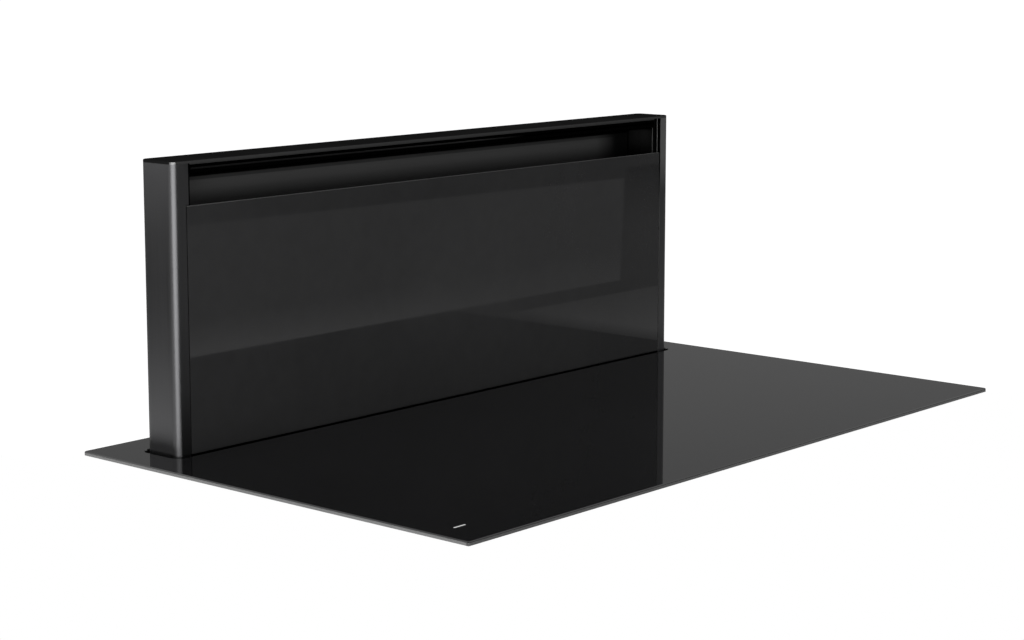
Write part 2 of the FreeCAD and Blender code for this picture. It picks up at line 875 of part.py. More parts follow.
def build_blower():
    left, right, low, high = blower_plate_span()
    for seat in blower_seats() + motor_seats():
        screw_at(*seat)
    plate = box((left, right), (scroll_back, front_face), (low, high))
    inlet = rod("y", scroll_back, front_face, S.inlet_radius, axle_x, axle_z)
    node("blower_back_plate", cut(cut(plate, inlet), screw_holes(blower_seats())))

    wrap = scroll_slab(S.blower_sheet.value, scroll_front, scroll_back)
    node("blower_wrapper", shaped(wrap.cut(scroll_slab(0.0, scroll_front, scroll_back))))

    cover = shaped(scroll_slab(S.seam.value, plate_front, scroll_front))
    neck = rod("y", plate_front, scroll_front, S.impeller_boss + S.fan_gap, axle_x, axle_z)
    node("blower_front_plate", cut(cut(cover, neck), screw_holes(motor_seats())))

    flange_front = plate_front - S.motor_flange_thick
    can_front = plate_front - S.blower_motor_length
    flange = rod("y", flange_front, plate_front, S.motor_flange, axle_x, axle_z)
    can = rod("y", can_front, flange_front, S.blower_motor_radius, axle_x, axle_z)
    shaft_front = can_front + S.motor_flange_thick
    bore_radius = S.motor_shaft_radius + S.running_gap
    bore = rod("y", shaft_front - S.slide_gap, plate_front, bore_radius, axle_x, axle_z)
    node("blower_motor", cut(cut(fuse(can, flange), bore), screw_holes(motor_seats())))

    wheel_front = scroll_front + S.impeller_gap
    shaft_back = wheel_front + S.boss_length
    node("motor_shaft", rod("y", shaft_front, shaft_back, S.motor_shaft_radius, axle_x, axle_z))
    build_impeller(wheel_front, scroll_back - S.impeller_gap - wheel_front)


def build_impeller(wheel_front, width):
    """Blower wheel, modelled about its own Z axis and turned to lie along Y."""
    body = new_body("impeller")
    eye = S.impeller_radius - S.blade_length
    root = eye + S.blade_thick
    tip = S.impeller_radius - S.blade_thick
    bore = S.motor_shaft_radius + S.running_gap
    disc(body, S.impeller_radius, 0.0, S.impeller_disc, bore)
    disc(body, S.impeller_boss, S.impeller_disc, S.boss_length, bore)
    outline = [
        (root, S.blade_thick / 2),
        (tip, S.blade_sweep),
        (tip, S.blade_sweep + S.blade_thick),
        (root, S.blade_thick * 3 / 2),
    ]
    disc(body, S.impeller_radius, width - S.impeller_disc, width, eye)
    blade = pad(body, "XY_Plane", outline, S.impeller_disc / 2, width - S.impeller_disc / 2)
    round_pattern(body, blade, S.blade_count, "Z_Axis")
    body.Placement = FreeCAD.Placement(FreeCAD.Vector(), AXIS_TURN["y"])
    for axis, place in zip("xyz", (axle_x, wheel_front, axle_z)):
        bind(body, f"Placement.Base.{axis}", place)


# Outlet collar with two non-return flaps on an upright pin
def build_outlet():
    plate_x_span = (outlet_x, outlet_x + S.collar_plate_thick)
    tube_x = (plate_x_span[1], plate_x_span[1] + S.collar_length)
    bore_radius = S.collar_radius - S.collar_wall
    flange = box(plate_x_span, (plate_front, scroll_back), about(outlet_z, S.collar_plate))
    window = common(
        box(plate_x_span, (scroll_front, scroll_back), about(outlet_z, S.throat_height)),
        rod("x", *plate_x_span, bore_radius, outlet_y, outlet_z),
    )
    tube = cut(
        rod("x", *tube_x, S.collar_radius, outlet_y, outlet_z),
        rod("x", *tube_x, bore_radius, outlet_y, outlet_z),
    )
    node("outlet_collar", fuse(cut(flange, window), tube))

    pin_x = plate_x_span[1] + S.flap_pin_setback
    pin_reach = bore_radius - S.slide_gap
    pin = rod("z", outlet_z - pin_reach, outlet_z + pin_reach, S.flap_pin_radius, pin_x, outlet_y)
    node("flap_pin", pin)

    flap_radius = bore_radius - S.flap_gap
    leaf_x = about(pin_x, S.flap_thick)
    leaf_start = S.knuckle_radius + S.knuckle_gap
    whole = span(flap_radius)
    pitch = S.knuckle_length + S.knuckle_gap
    for name, side, shift in (("front", -1, 0), ("back", 1, 1)):
        round_leaf = rod("x", *leaf_x, flap_radius, outlet_y, outlet_z)
        half_y = sided(side, leaf_start, flap_radius)
        half = box(leaf_x, [outlet_y + y for y in half_y], [outlet_z + z for z in whole])
        pieces = [common(round_leaf, half)]
        for n in (shift - 2, shift):
            knuckle_low = outlet_z + pitch * n
            knuckle_z = (knuckle_low, knuckle_low + S.knuckle_length)
            web_y = [outlet_y + y for y in sided(side, 0.0, leaf_start)]
            pieces.append(rod("z", *knuckle_z, S.knuckle_radius, pin_x, outlet_y))
            pieces.append(box(leaf_x, web_y, knuckle_z))
        bore = rod("z", outlet_z - flap_radius, outlet_z + flap_radius,
                   S.flap_pin_radius + S.running_gap, pin_x, outlet_y)
        node(f"outlet_flap_{name}", cut(fuse(*pieces), bore))


# Control box with its lid and cable gland, on the front of the housing
def build_control_box():
    left = -housing_x + S.box_inset
    box_x = (left, blower_plate_span()[0] - S.box_gap)
    box_z = (-S.box_drop - S.box_height, -S.box_drop)
    box_front = front_face - S.box_depth
    inner_x = (box_x[0] + S.box_wall, box_x[1] - S.box_wall)
    inner_z = (box_z[0] + S.box_wall, box_z[1] - S.box_wall)
    inner_back = front_face - S.box_wall
    lid_front = box_front - S.box_wall
    post = S.box_post_radius
    post_inset = post - S.box_wall / 2
    seats = []
    posts = []
    for x in (inner_x[0] + post_inset, inner_x[1] - post_inset):
        for z in (inner_z[0] + post_inset, inner_z[1] - post_inset):
            seats.append(screw_at("y", -1, x, lid_front, z))
            posts.append(rod("y", box_front, inner_back, post, x, z))
    shell = cut(
        box(box_x, (box_front, front_face), box_z),
        box(inner_x, (box_front, inner_back), inner_z),
    )
    gland_y = (box_front + front_face) / 2
    gland_z = (box_z[0] + box_z[1]) / 2
    stem_hole = rod("x", left, inner_x[0], S.gland_stem_radius + S.screw_gap, gland_y, gland_z)
    holes = screw_holes(seats)
    node("control_box", cut(cut(fuse(shell, *posts), stem_hole), holes))
    node("control_box_lid", cut(box(box_x, (lid_front, box_front), box_z), holes))

    nut = rod("x", left - S.gland_length, left, S.gland_radius, gland_y, gland_z)
    stem_end = inner_x[0] + S.box_wall
    stem = rod("x", left, stem_end, S.gland_stem_radius, gland_y, gland_z)
    bore = rod("x", left - S.gland_length, stem_end, S.gland_bore_radius, gland_y, gland_z)
    node("cable_gland", cut(fuse(nut, stem), bore))


# Hob tray under the glass
def build_tray():
    outer = box(span(tray_x), (tray_front, tray_back), (tray_bottom, glass_bottom))
    inner_x = tray_x - S.tray_sheet
    inner_y = (tray_front + S.tray_sheet, tray_back - S.tray_sheet)
    shell = cut(outer, box(span(inner_x), inner_y, (tray_floor, glass_bottom)))
    slots = []
    pitch = S.vent_slot * 3
    run = pitch * (S.vent_count - 1) / 2
    vent_z = about((tray_bottom + glass_bottom) / 2, S.vent_length)
    for x in spaced(-run, run, int(S.vent_count.value)):
        slots.append(box(about(x, S.vent_slot), (tray_front, inner_y[0]), vent_z))
    grille = S.fan_side - S.fan_wall * 8
    for x in spaced(-grille / 2, grille / 2, 6):
        slots.append(box(about(x, S.vent_slot), about(fan_y, grille), (tray_bottom, tray_floor)))
    node("hob_tray", cut(cut(shell, group(*slots)), clip_holes()))


coil_field_front = tray_front + S.tray_sheet + S.touch_depth + S.coil_gap
coil_field = tray_back - S.tray_sheet - S.coil_gap - coil_field_front
coil_radius = (coil_field - S.coil_gap) / 4
coil_rows = {"front": coil_field_front + coil_radius, "back": coil_field_front + coil_radius * 3 + S.coil_gap}
coil_bottom = glass_bottom - S.coil_thick
coil_plate_bottom = coil_bottom - S.coil_plate_thick
fan_y = coil_field_front + S.fan_side / 2 + S.coil_gap


def build_coils():
    coil_x = tray_x / 2
    for row, y in coil_rows.items():
        for name, side in BOTH_SIDES.items():
            ring = cut(
                rod("z", coil_bottom, glass_bottom, coil_radius, coil_x * side, y),
                rod("z", coil_bottom, glass_bottom, S.coil_eye, coil_x * side, y),
            )
            node(f"coil_{row}_{name}", ring)
    reach = tray_x - S.coil_plate_inset
    plate_y_span = (coil_field_front, coil_field_front + coil_field)
    node("coil_plate", box(span(reach), plate_y_span, (coil_plate_bottom, coil_bottom)))
    posts = []
    for x in (-reach + S.coil_plate_inset, reach - S.coil_plate_inset):
        for y in (plate_y_span[0] + S.coil_plate_inset, plate_y_span[1] - S.coil_plate_inset):
            posts.append(rod("z", tray_floor, coil_plate_bottom, S.coil_post_radius, x, y))
    node("coil_posts", group(*posts))


def build_boards():
    touch_y = (tray_front + S.tray_sheet + S.fit_gap, tray_front + S.tray_sheet + S.touch_depth)
    node("touch_board", box(span(S.touch_width / 2), touch_y, (glass_bottom - S.board_thick, glass_bottom)))

    board_back = tray_back - S.tray_sheet - S.coil_gap
    board_y = (board_back - S.power_board_depth, board_back)
    board_bottom = tray_floor + S.power_board_lift
    board_top = board_bottom + S.board_thick
    half = S.power_board_width / 2
    pieces = [box(span(half), board_y, (board_bottom, board_top))]
    inset = S.coil_post_radius * 2
    for x in (-half + inset, half - inset):
        for y in (board_y[0] + inset, board_y[1] - inset):
            pieces.append(rod("z", tray_floor, board_bottom, S.coil_post_radius, x, y))
    fin_y = (board_y[0] + inset * 2, board_y[1] - inset * 2)
    for x in spaced(-half / 2, half / 2, 12):
        pieces.append(box(about(x, S.heatsink_fin), fin_y, (board_top, board_top + S.heatsink_height)))
    node("power_board", fuse(*pieces))


def build_fan():
    """Cooling fan on the tray floor: a square frame with a hub on three arms, and the rotor on its pin."""
    half = S.fan_side / 2
    fan_top = tray_floor + S.fan_height
    hub_top = tray_floor + S.fan_floor
    throat = half - S.fan_wall
    frame = cut(
        box(span(half), about(fan_y, S.fan_side), (tray_floor, fan_top)),
        rod("z", tray_floor, fan_top, throat, length(0.0), fan_y),
    )
    arms = [rod("z", tray_floor, hub_top, S.fan_hub, length(0.0), fan_y)]
    arms.append(box(span(half), about(fan_y, S.fan_floor * 2), (tray_floor, hub_top)))
    arms.append(box(span(S.fan_floor), about(fan_y, S.fan_side), (tray_floor, hub_top)))
    pin_top = fan_top - S.fan_floor
    arms.append(rod("z", hub_top, pin_top, S.fan_floor, length(0.0), fan_y))
    node("fan_frame", fuse(frame, *arms))

    body = new_body("fan_rotor")
    low = S.fan_floor + S.slide_gap
    high = S.fan_height - S.fan_gap
    tip = throat - S.fan_gap
    disc(body, S.fan_hub, low, high, S.fan_floor + S.running_gap)
    outline = [
        (-S.fan_hub / 2, low),
        (-S.fan_hub / 2 + S.fan_gap * 2, low),
        (S.fan_hub / 2, high),
        (S.fan_hub / 2 - S.fan_gap * 2, high),
    ]
    blade = pad(body, "XZ_Plane", outline, S.fan_hub * 3 / 4, tip - S.fan_gap)
    round_pattern(body, blade, S.fan_blades, "Z_Axis")
    for axis, place in zip("xyz", (0.0, fan_y, tray_floor)):
        bind(body, f"Placement.Base.{axis}", place)


# Spring clips that grip the edge of the worktop cut-out
def clip_places():
    return [(side, y) for side in BOTH_SIDES.values() for y in coil_rows.values()]


def clip_seats():
    tab_middle = glass_bottom - S.clip_drop - S.clip_tab / 2
    return [("x", side, (tray_x + S.clip_sheet) * side, y, tab_middle) for side, y in clip_places()]


def clip_holes():
    return screw_holes(clip_seats())


def build_clips():
    for seat in clip_seats():
        screw_at(*seat)
    top = glass_bottom - S.clip_drop
    knee = top - S.clip_tab
    low = knee - S.clip_length
    crown = (knee + low) / 2
    depths = [
        (0.0, top),
        (S.clip_sheet, top),
        (S.clip_sheet, knee),
        (S.clip_sheet + S.clip_bow, crown),
        (S.clip_sheet, low),
        (0.0, low),
        (S.clip_bow, crown),
        (0.0, knee),
    ]
    strips = []
    for side, y in clip_places():
        outline = [((tray_x + out) * side, up) for out, up in depths]
        corners = [FreeCAD.Vector(x.value, 0, z.value) for x, z in outline]
        strip = Part.Face(Part.makePolygon(corners + corners[:1]))
        made = shaped(strip.extrude(FreeCAD.Vector(0, S.clip_width.value, 0)))
        bind(made, "Placement.Base.y", y - S.clip_width / 2)
        strips.append(made)
    node("spring_clips", cut(group(*strips), clip_holes()))


build_glass()
build_seal()
build_gasket()
for side_name, side_sign in BOTH_SIDES.items():
    build_profile(side_name, side_sign)
build_cap()
build_panes()
build_intake()
build_filters()
build_carriage()
build_rails()
build_drive()
build_housing()
build_blower()
build_outlet()
build_control_box()
build_tray()
build_coils()
build_boards()
build_fan()
build_clips()
build_screws()
doc.recompute()

# Nothing is written unless every object came out whole
for item in doc.Objects:
    if "Invalid" in item.State or "Error" in item.State:
        raise RuntimeError(f"{item.Name} failed: {item.State}")
for label, made in nodes.items():
    if made.Shape.isNull() or not made.Shape.isValid() or not made.Shape.Solids:
        raise RuntimeError(f"{label} has no sound solid")

os.makedirs("parts", exist_ok=True)
for label, made in nodes.items():
    made.Shape.exportStep(f"parts/{label}.step")
print(len(nodes), "nodes written")
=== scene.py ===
"""Looks of a pop-up downdraft hood in a hob glass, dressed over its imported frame."""
import json
import math

import bmesh
import bpy
from bpy.props import FloatProperty, FloatVectorProperty, IntProperty, PointerProperty
from mathutils import Matrix, Vector


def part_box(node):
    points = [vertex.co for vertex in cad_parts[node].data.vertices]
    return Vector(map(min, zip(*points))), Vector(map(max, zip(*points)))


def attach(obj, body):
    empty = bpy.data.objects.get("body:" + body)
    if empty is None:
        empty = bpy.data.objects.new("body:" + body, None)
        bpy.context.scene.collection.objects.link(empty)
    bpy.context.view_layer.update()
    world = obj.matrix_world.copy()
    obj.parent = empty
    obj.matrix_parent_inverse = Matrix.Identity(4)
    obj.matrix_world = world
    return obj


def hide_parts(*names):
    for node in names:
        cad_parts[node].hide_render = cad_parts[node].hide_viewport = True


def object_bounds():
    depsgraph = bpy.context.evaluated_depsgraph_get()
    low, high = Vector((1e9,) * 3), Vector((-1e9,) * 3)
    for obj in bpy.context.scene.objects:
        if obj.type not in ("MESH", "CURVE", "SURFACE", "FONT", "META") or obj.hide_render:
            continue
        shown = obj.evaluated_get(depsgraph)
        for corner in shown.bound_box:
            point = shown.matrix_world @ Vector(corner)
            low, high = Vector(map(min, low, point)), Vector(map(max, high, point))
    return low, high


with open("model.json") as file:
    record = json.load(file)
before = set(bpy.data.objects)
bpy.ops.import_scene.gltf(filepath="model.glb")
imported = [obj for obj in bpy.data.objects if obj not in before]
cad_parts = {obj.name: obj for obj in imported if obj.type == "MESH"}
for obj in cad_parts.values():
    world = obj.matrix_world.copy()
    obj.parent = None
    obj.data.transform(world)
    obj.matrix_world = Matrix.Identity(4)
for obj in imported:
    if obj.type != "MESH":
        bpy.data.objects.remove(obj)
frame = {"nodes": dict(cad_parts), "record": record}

bl_info = {
    "name": "Downdraft hood looks",
    "version": (1, 0, 0),
    "blender": (4, 5, 0),
    "location": "3D View > Sidebar > Hood",
    "description": "Finishes, small parts and studio for a pop-up downdraft hood",
    "category": "Object",
}

CAD_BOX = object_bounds()
nodes_of = frame["nodes"]

# Lengths in metres
MM = 0.001
SHARP = 0.01 * MM
JOINED = 0.001 * MM
UNBOUND = 10.0

# Ways that pieces face
LEFT = (-1.0, 0.0, 0.0)
RIGHT = (1.0, 0.0, 0.0)
FRONT = (0.0, -1.0, 0.0)
BACK = (0.0, 1.0, 0.0)
UP = (0.0, 0.0, 1.0)


def colour_prop(name, description, *levels):
    """A colour, given by one grey level or by its red, green and blue."""
    default = levels * 3 if len(levels) == 1 else levels
    return FloatVectorProperty(name=name, description=description, default=default, subtype="COLOR",
                               size=3, min=0.0, max=1.0)


def length_prop(name, description, millimetres):
    return FloatProperty(name=name, description=description, default=millimetres * MM, min=0.0,
                         unit="LENGTH", subtype="DISTANCE")


def angle_prop(name, description, degrees):
    return FloatProperty(name=name, description=description, default=math.radians(degrees),
                         subtype="ANGLE", unit="ROTATION")


def count_prop(name, description, default, least):
    return IntProperty(name=name, description=description, default=default, min=least)


class HoodColours(bpy.types.PropertyGroup):
    """Colours of the hood's finishes."""
    glass: colour_prop("Black glass", "Body colour of the hob glass", 0.0045, 0.0045, 0.005)
    ground_edge: colour_prop("Ground edge", "Ground rim of the hob glass", 0.17)
    anodised: colour_prop("Anodised metal", "Side profiles of the tower", 0.075, 0.075, 0.077)
    paint: colour_prop("Black paint", "Back panel and motors", 0.018, 0.018, 0.019)
    cap: colour_prop("Cap", "Coated cap of the tower", 0.013)
    # Painted highlight: a lighter front wall of the cap and a lighter top of the light bar.
    cap_edge: colour_prop("Cap edge", "Front wall of the cap", 0.04)
    # Painted highlight: a lighter grey on a few edges and on the upper strip of the right profile.
    edge_highlight: colour_prop("Edge highlight", "Bare edges of the right profile", 0.2)
    pane: colour_prop("Pane", "Front pane of the tower", 0.019, 0.019, 0.0195)
    arris: colour_prop("Pane arris", "Ground top edge of the front pane", 0.04)
    # The light bar's own black. The same black is painted shade inside the profiles, on the intake lining, on
    # the light bar's cover and at the foot of the pane.
    lamp: colour_prop("Light bar", "Blackened light bar and inside of the profiles", 0.0006)
    diffuser: colour_prop("Diffuser", "Smoked cover and bead of the light bar", 0.006)
    lining: colour_prop("Intake lining", "Curved sheet behind the intake", 0.056)
    aluminium: colour_prop("Aluminium", "Filters, ledge and gear cases", 0.5, 0.5, 0.51)
    zinc: colour_prop("Zinc", "Galvanised sheet", 0.36, 0.37, 0.38)
    steel: colour_prop("Plated steel", "Screws, clips, rails and shafts", 0.6)
    bronze: colour_prop("Bronze", "Lift nuts", 0.5, 0.32, 0.13)
    copper: colour_prop("Copper", "Coil windings", 0.6, 0.25, 0.12)
    black_plastic: colour_prop("Black plastic", "Collar, fans and gland", 0.022, 0.022, 0.023)
    grey_plastic: colour_prop("Grey plastic", "Control box and flaps", 0.26, 0.26, 0.27)
    white_plastic: colour_prop("White plastic", "Guide shoes and printed mark", 0.72, 0.72, 0.71)
    board: colour_prop("Circuit board", "Solder mask of the boards", 0.02, 0.15, 0.065)
    rubber: colour_prop("Rubber", "Seal and gasket", 0.016)


class DetailSizes(bpy.types.PropertyGroup):
    """Sizes of the small parts."""
    bead_width: length_prop("Bead width", "Width of the pressed beads of the housing", 16.0)
    bead_height: length_prop("Bead height", "How far the pressed beads stand out", 2.4)
    weld_width: length_prop("Weld width", "Width of a spot weld", 6.0)
    rim_radius: length_prop("Rim radius", "Radius of the rolled rim of the blower", 2.2)
    ring_radius: length_prop("Ring radius", "Radius of the rings round the outlet collar", 1.4)
    fin_count: count_prop("Motor fins", "Cooling fins round the blower motor", 30, 6)
    fin_height: length_prop("Fin height", "How far the motor fins stand out", 4.0)
    web_count: count_prop("Collar webs", "Webs at the foot of the outlet collar", 12, 6)
    grip_count: count_prop("Gland grips", "Grip ribs round the cable gland", 18, 6)
    louvre_count: count_prop("Louvres", "Louvres of the control box lid", 7, 1)
    louvre_length: length_prop("Louvre length", "Length of a louvre of the control box lid", 84.0)
    edge: length_prop("Edge round", "Round of the edges of the back panel and the control box lid", 0.5)


class StudioSettings(bpy.types.PropertyGroup):
    """Camera and floor of the studio."""
    lens: FloatProperty(name="Lens", description="Focal length of the camera", default=78.364, unit="CAMERA")
    drop: FloatProperty(name="Frame drop", description="How far the frame sits below the lens axis",
                        default=0.05)
    eye: FloatVectorProperty(name="Eye", description="Place of the camera", default=(-1.799, -1.4951, 0.506),
                             subtype="XYZ", unit="LENGTH")
    pitch: angle_prop("Pitch", "Downward tilt of the camera", 8.277)
    heading: angle_prop("Heading", "Turn of the camera from the X axis", 41.121)
    floor: colour_prop("Floor", "Colour of the studio floor", 0.8)


class Nodes:
    """Adds nodes to a tree. An input given as a socket is linked, any other value is set."""

    def __init__(self, tree):
        self.tree = tree

    def add(self, kind, inputs=None, **settings):
        node = self.tree.nodes.new(kind)
        for name, value in settings.items():
            setattr(node, name, value)
        for name, value in (inputs or {}).items():
            self.feed(node.inputs[name], value)
        return node

    def feed(self, socket, value):
        if isinstance(value, bpy.types.NodeSocket):
            self.tree.links.new(value, socket)
        else:
            socket.default_value = value

    def result(self, kind, inputs=None, **settings):
        """The first output of a new node."""
        return self.add(kind, inputs, **settings).outputs[0]

    def math(self, operation, *values):
        return self.result("ShaderNodeMath", dict(enumerate(values)), operation=operation)

    def vector(self, operation, *values):
        return self.result("ShaderNodeVectorMath", dict(enumerate(values)), operation=operation)

    def parts(self, vector):
        """The X, Y and Z of a vector."""
        return self.add("ShaderNodeSeparateXYZ", {0: vector}).outputs

    def noise(self, place, scale, detail):
        return self.add("ShaderNodeTexNoise", {"Vector": place, "Scale": scale, "Detail": detail}).outputs

    def spread(self, value, low, high, start=0.0, end=1.0):
        """The value taken from start..end to low..high, held at both ends."""
        return self.result("ShaderNodeMapRange", dict(enumerate((value, start, end, low, high))))

    def blend(self, factor, low, high):
        """A mix of two colours. A mix node's inputs 6 and 7 and its output 2 are its colours."""
        return self.add("ShaderNodeMix", {0: factor, 6: low, 7: high}, data_type="RGBA").outputs[2]


def emptied(owner):
    """The nodes of a new material or world, cleared of what it starts with."""
    owner.use_nodes = True
    owner.node_tree.nodes.clear()
    return Nodes(owner.node_tree)


# Node groups, each kept under the name of the function that makes it
GROUPS = {}


def node_group(kind, inputs, output, output_kind):
    """Keeps the group that a function makes of its inputs, each given by its kind or its default."""
    def keep(make):
        tree = bpy.data.node_groups.new(make.__name__.replace("_", " ").capitalize(), f"{kind}NodeTree")
        for label, given in inputs.items():
            socket_kind = {float: "Float", tuple: "Vector"}.get(type(given), given)
            socket = tree.interface.new_socket(label, in_out="INPUT", socket_type=f"NodeSocket{socket_kind}")
            if socket_kind != given:
                socket.default_value = given
        tree.interface.new_socket(output, in_out="OUTPUT", socket_type=f"NodeSocket{output_kind}")
        nodes = Nodes(tree)
        made = make(nodes, nodes.add("NodeGroupInput").outputs)
        nodes.feed(nodes.add("NodeGroupOutput").inputs[0], made)
        GROUPS[make.__name__] = tree
        return make
    return keep


# Shader groups shared by the finishes
def shader_group(output, inputs):
    return node_group("Shader", {"Vector": "Vector", **inputs}, output, "Float")


@shader_group("Mask", {"Scale": 6.0})
def handling_marks(nodes, given):
    """Broad cloudy patches with finer specks in them."""
    broad = nodes.noise(given["Vector"], given["Scale"], 4.0)
    fine = nodes.noise(given["Vector"], nodes.math("MULTIPLY", given["Scale"], 11.0), 3.0)
    both = nodes.math("ADD", broad[0], nodes.math("MULTIPLY", fine[0], 0.35))
    return nodes.spread(both, 0.0, 1.0, 0.45, 0.9)


@shader_group("Mask", {"Scale": 90.0})
def zinc_flowers(nodes, given):
    """Crystal patches of a zinc coat."""
    wobble = nodes.noise(given["Vector"], 70.0, 2.0)["Color"]
    moved = nodes.vector("ADD", given["Vector"], nodes.vector("MULTIPLY", wobble, (0.008, 0.008, 0.008)))
    cells = nodes.add("ShaderNodeTexVoronoi", {"Vector": moved, "Scale": given["Scale"]})
    shade = nodes.result("ShaderNodeSeparateColor", {"Color": cells.outputs["Color"]})
    broad = nodes.noise(given["Vector"], 5.0, 3.0)
    both = nodes.math("ADD", shade, nodes.math("MULTIPLY", broad[0], 0.4))
    return nodes.spread(both, 0.0, 1.0, 0.0, 1.4)


@shader_group("Mask", {"Across X": 2000.0, "Across Y": 2000.0, "Across Z": 6.0})
def drawn_lines(nodes, given):
    """Fine lines along one axis, for drawn or brushed metal, given as lines per metre along X, Y and Z."""
    pace = nodes.result("ShaderNodeCombineXYZ", {axis: given[f"Across {axis}"] for axis in "XYZ"})
    lines = nodes.noise(nodes.vector("MULTIPLY", given["Vector"], pace), 1.0, 3.0)
    broad = nodes.noise(given["Vector"], 7.0, 2.0)
    both = nodes.math("ADD", lines[0], nodes.math("MULTIPLY", broad[0], 0.5))
    return nodes.spread(both, 0.0, 1.0, 0.45, 1.05)


@shader_group("Height", {"Scale": 2500.0})
def fine_grain(nodes, given):
    """A fine even grain, as on moulded plastic, powder coat and blasted metal."""
    return nodes.noise(given["Vector"], given["Scale"], 2.0)[0]


@shader_group("Mask", {"Middle": (0.0,) * 3, "Half": (UNBOUND,) * 3, "Fade": (SHARP,) * 3})
def coat_mask(nodes, given):
    """1 within a box, given by its middle and half its size, that fades to 0 beyond its sides."""
    away = nodes.vector("ABSOLUTE", nodes.vector("SUBTRACT", given["Vector"], given["Middle"]))
    past = nodes.vector("DIVIDE", nodes.vector("SUBTRACT", away, given["Half"]), given["Fade"])
    mask = 1.0
    for part in nodes.parts(past):
        mask = nodes.math("MULTIPLY", mask, nodes.spread(part, 1.0, 0.0))
    return mask


def placed_group(nodes, group, place, values):
    """What a shader group gives in a material, with its own values."""
    return nodes.result("ShaderNodeGroup", {"Vector": place, **values}, node_tree=GROUPS[group])


def scaled(colour, factor):
    return (*(min(1.0, part * factor) for part in colour), 1.0)


class Finish:
    """A procedural material whose colour and gloss follow one pattern, with a grain in its surface."""

    def __init__(self, name, colour, pattern, shades, rough, grain=None, **constants):
        self.material = bpy.data.materials.new(name)
        self.nodes = emptied(self.material)
        self.coordinates = self.nodes.add("ShaderNodeTexCoord").outputs
        self.place = self.coordinates["Object"]
        self.shader = self.nodes.add("ShaderNodeBsdfPrincipled")
        self.nodes.add("ShaderNodeOutputMaterial", {"Surface": self.shader.outputs[0]})
        group, values = pattern
        self.mask = placed_group(self.nodes, group, self.place, values)
        low, high = (scaled(colour, shade) for shade in shades)
        self.colour = self.nodes.blend(self.mask, low, high)
        self.rough = self.nodes.spread(self.mask, *rough)
        self.metal = constants.pop("Metallic", 0.0)
        for label, value in constants.items():
            self.shader.inputs[label.replace("_", " ")].default_value = value
        if grain:
            self.roughen(*grain)
        self.join()

    def roughen(self, scale, strength, depth):
        """A fine grain in the surface."""
        height = placed_group(self.nodes, "fine_grain", self.place, {"Scale": scale})
        inputs = {"Height": height, "Strength": strength, "Distance": depth}
        bump = self.nodes.result("ShaderNodeBump", inputs)
        self.nodes.feed(self.shader.inputs["Normal"], bump)

    def join(self):
        """Links what the finish has so far to its shader."""
        self.nodes.feed(self.shader.inputs["Base Color"], self.colour)
        self.nodes.feed(self.shader.inputs["Roughness"], self.rough)
        self.nodes.feed(self.shader.inputs["Metallic"], self.metal)

    def rim(self, colour, rough, reach, top):
        """A ground rim below the top arris, on the walls that stand further out than reach along X or Y, with
        painted shade on the front and back walls.
        """
        nodes = self.nodes
        place = nodes.parts(self.place)
        facing_up = nodes.parts(self.coordinates["Normal"])["Z"]
        ends = nodes.math("GREATER_THAN", nodes.math("ABSOLUTE", place["X"]), reach[0])
        fronts = nodes.math("GREATER_THAN", nodes.math("ABSOLUTE", place["Y"]), reach[1])
        nearly_flat = 0.95
        upright = nodes.math("LESS_THAN", nodes.math("ABSOLUTE", facing_up), nearly_flat)
        wall = nodes.math("MULTIPLY", upright, nodes.math("LESS_THAN", place["Z"], top))
        mask = nodes.math("MULTIPLY", nodes.math("MAXIMUM", ends, fronts), wall)
        ground = nodes.blend(self.mask, scaled(colour, 0.85), scaled(colour, 1.15))
        # Painted shade: the front and back walls of the rim are half as light as the end walls.
        ground = nodes.blend(fronts, ground, scaled(colour, 0.5))
        self.colour = nodes.blend(mask, self.colour, ground)
        polish = nodes.math("MULTIPLY", self.rough, nodes.math("SUBTRACT", 1.0, mask))
        self.rough = nodes.math("ADD", polish, nodes.math("MULTIPLY", mask, rough))
        self.join()

    def coat(self, colour, spans, share=1.0, metal=None, fade=SHARP / MM):
        """A share of a colour within spans in millimetres, such as {"X": (low, high)}, that fades out beyond.

        A span with a third value fades out over that length.
        """
        box = {"Middle": [0.0] * 3, "Half": [UNBOUND] * 3, "Fade": [SHARP] * 3}
        for axis, (low, high, *own) in spans.items():
            n = "XYZ".index(axis)
            box["Middle"][n] = (low + high) / 2 * MM
            box["Half"][n] = (high - low) / 2 * MM
            box["Fade"][n] = (own[0] if own else fade) * MM
        mask = placed_group(self.nodes, "coat_mask", self.place, box)
        self.colour = self.nodes.blend(mask, self.colour, scaled(colour, share))
        if metal is not None:
            self.metal = self.nodes.spread(mask, self.metal, metal)
        self.join()


finishes = {}


# Painted shade and highlights that follow the pieces of the tower, in millimetres
def mm_box(node):
    low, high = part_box(node)
    return low / MM, high / MM


def mirrored(spans):
    """The same spans on the left side of the tower."""
    low, high = spans["X"]
    return {**spans, "X": (-high, -low)}


def around(middle, half):
    return middle - half, middle + half


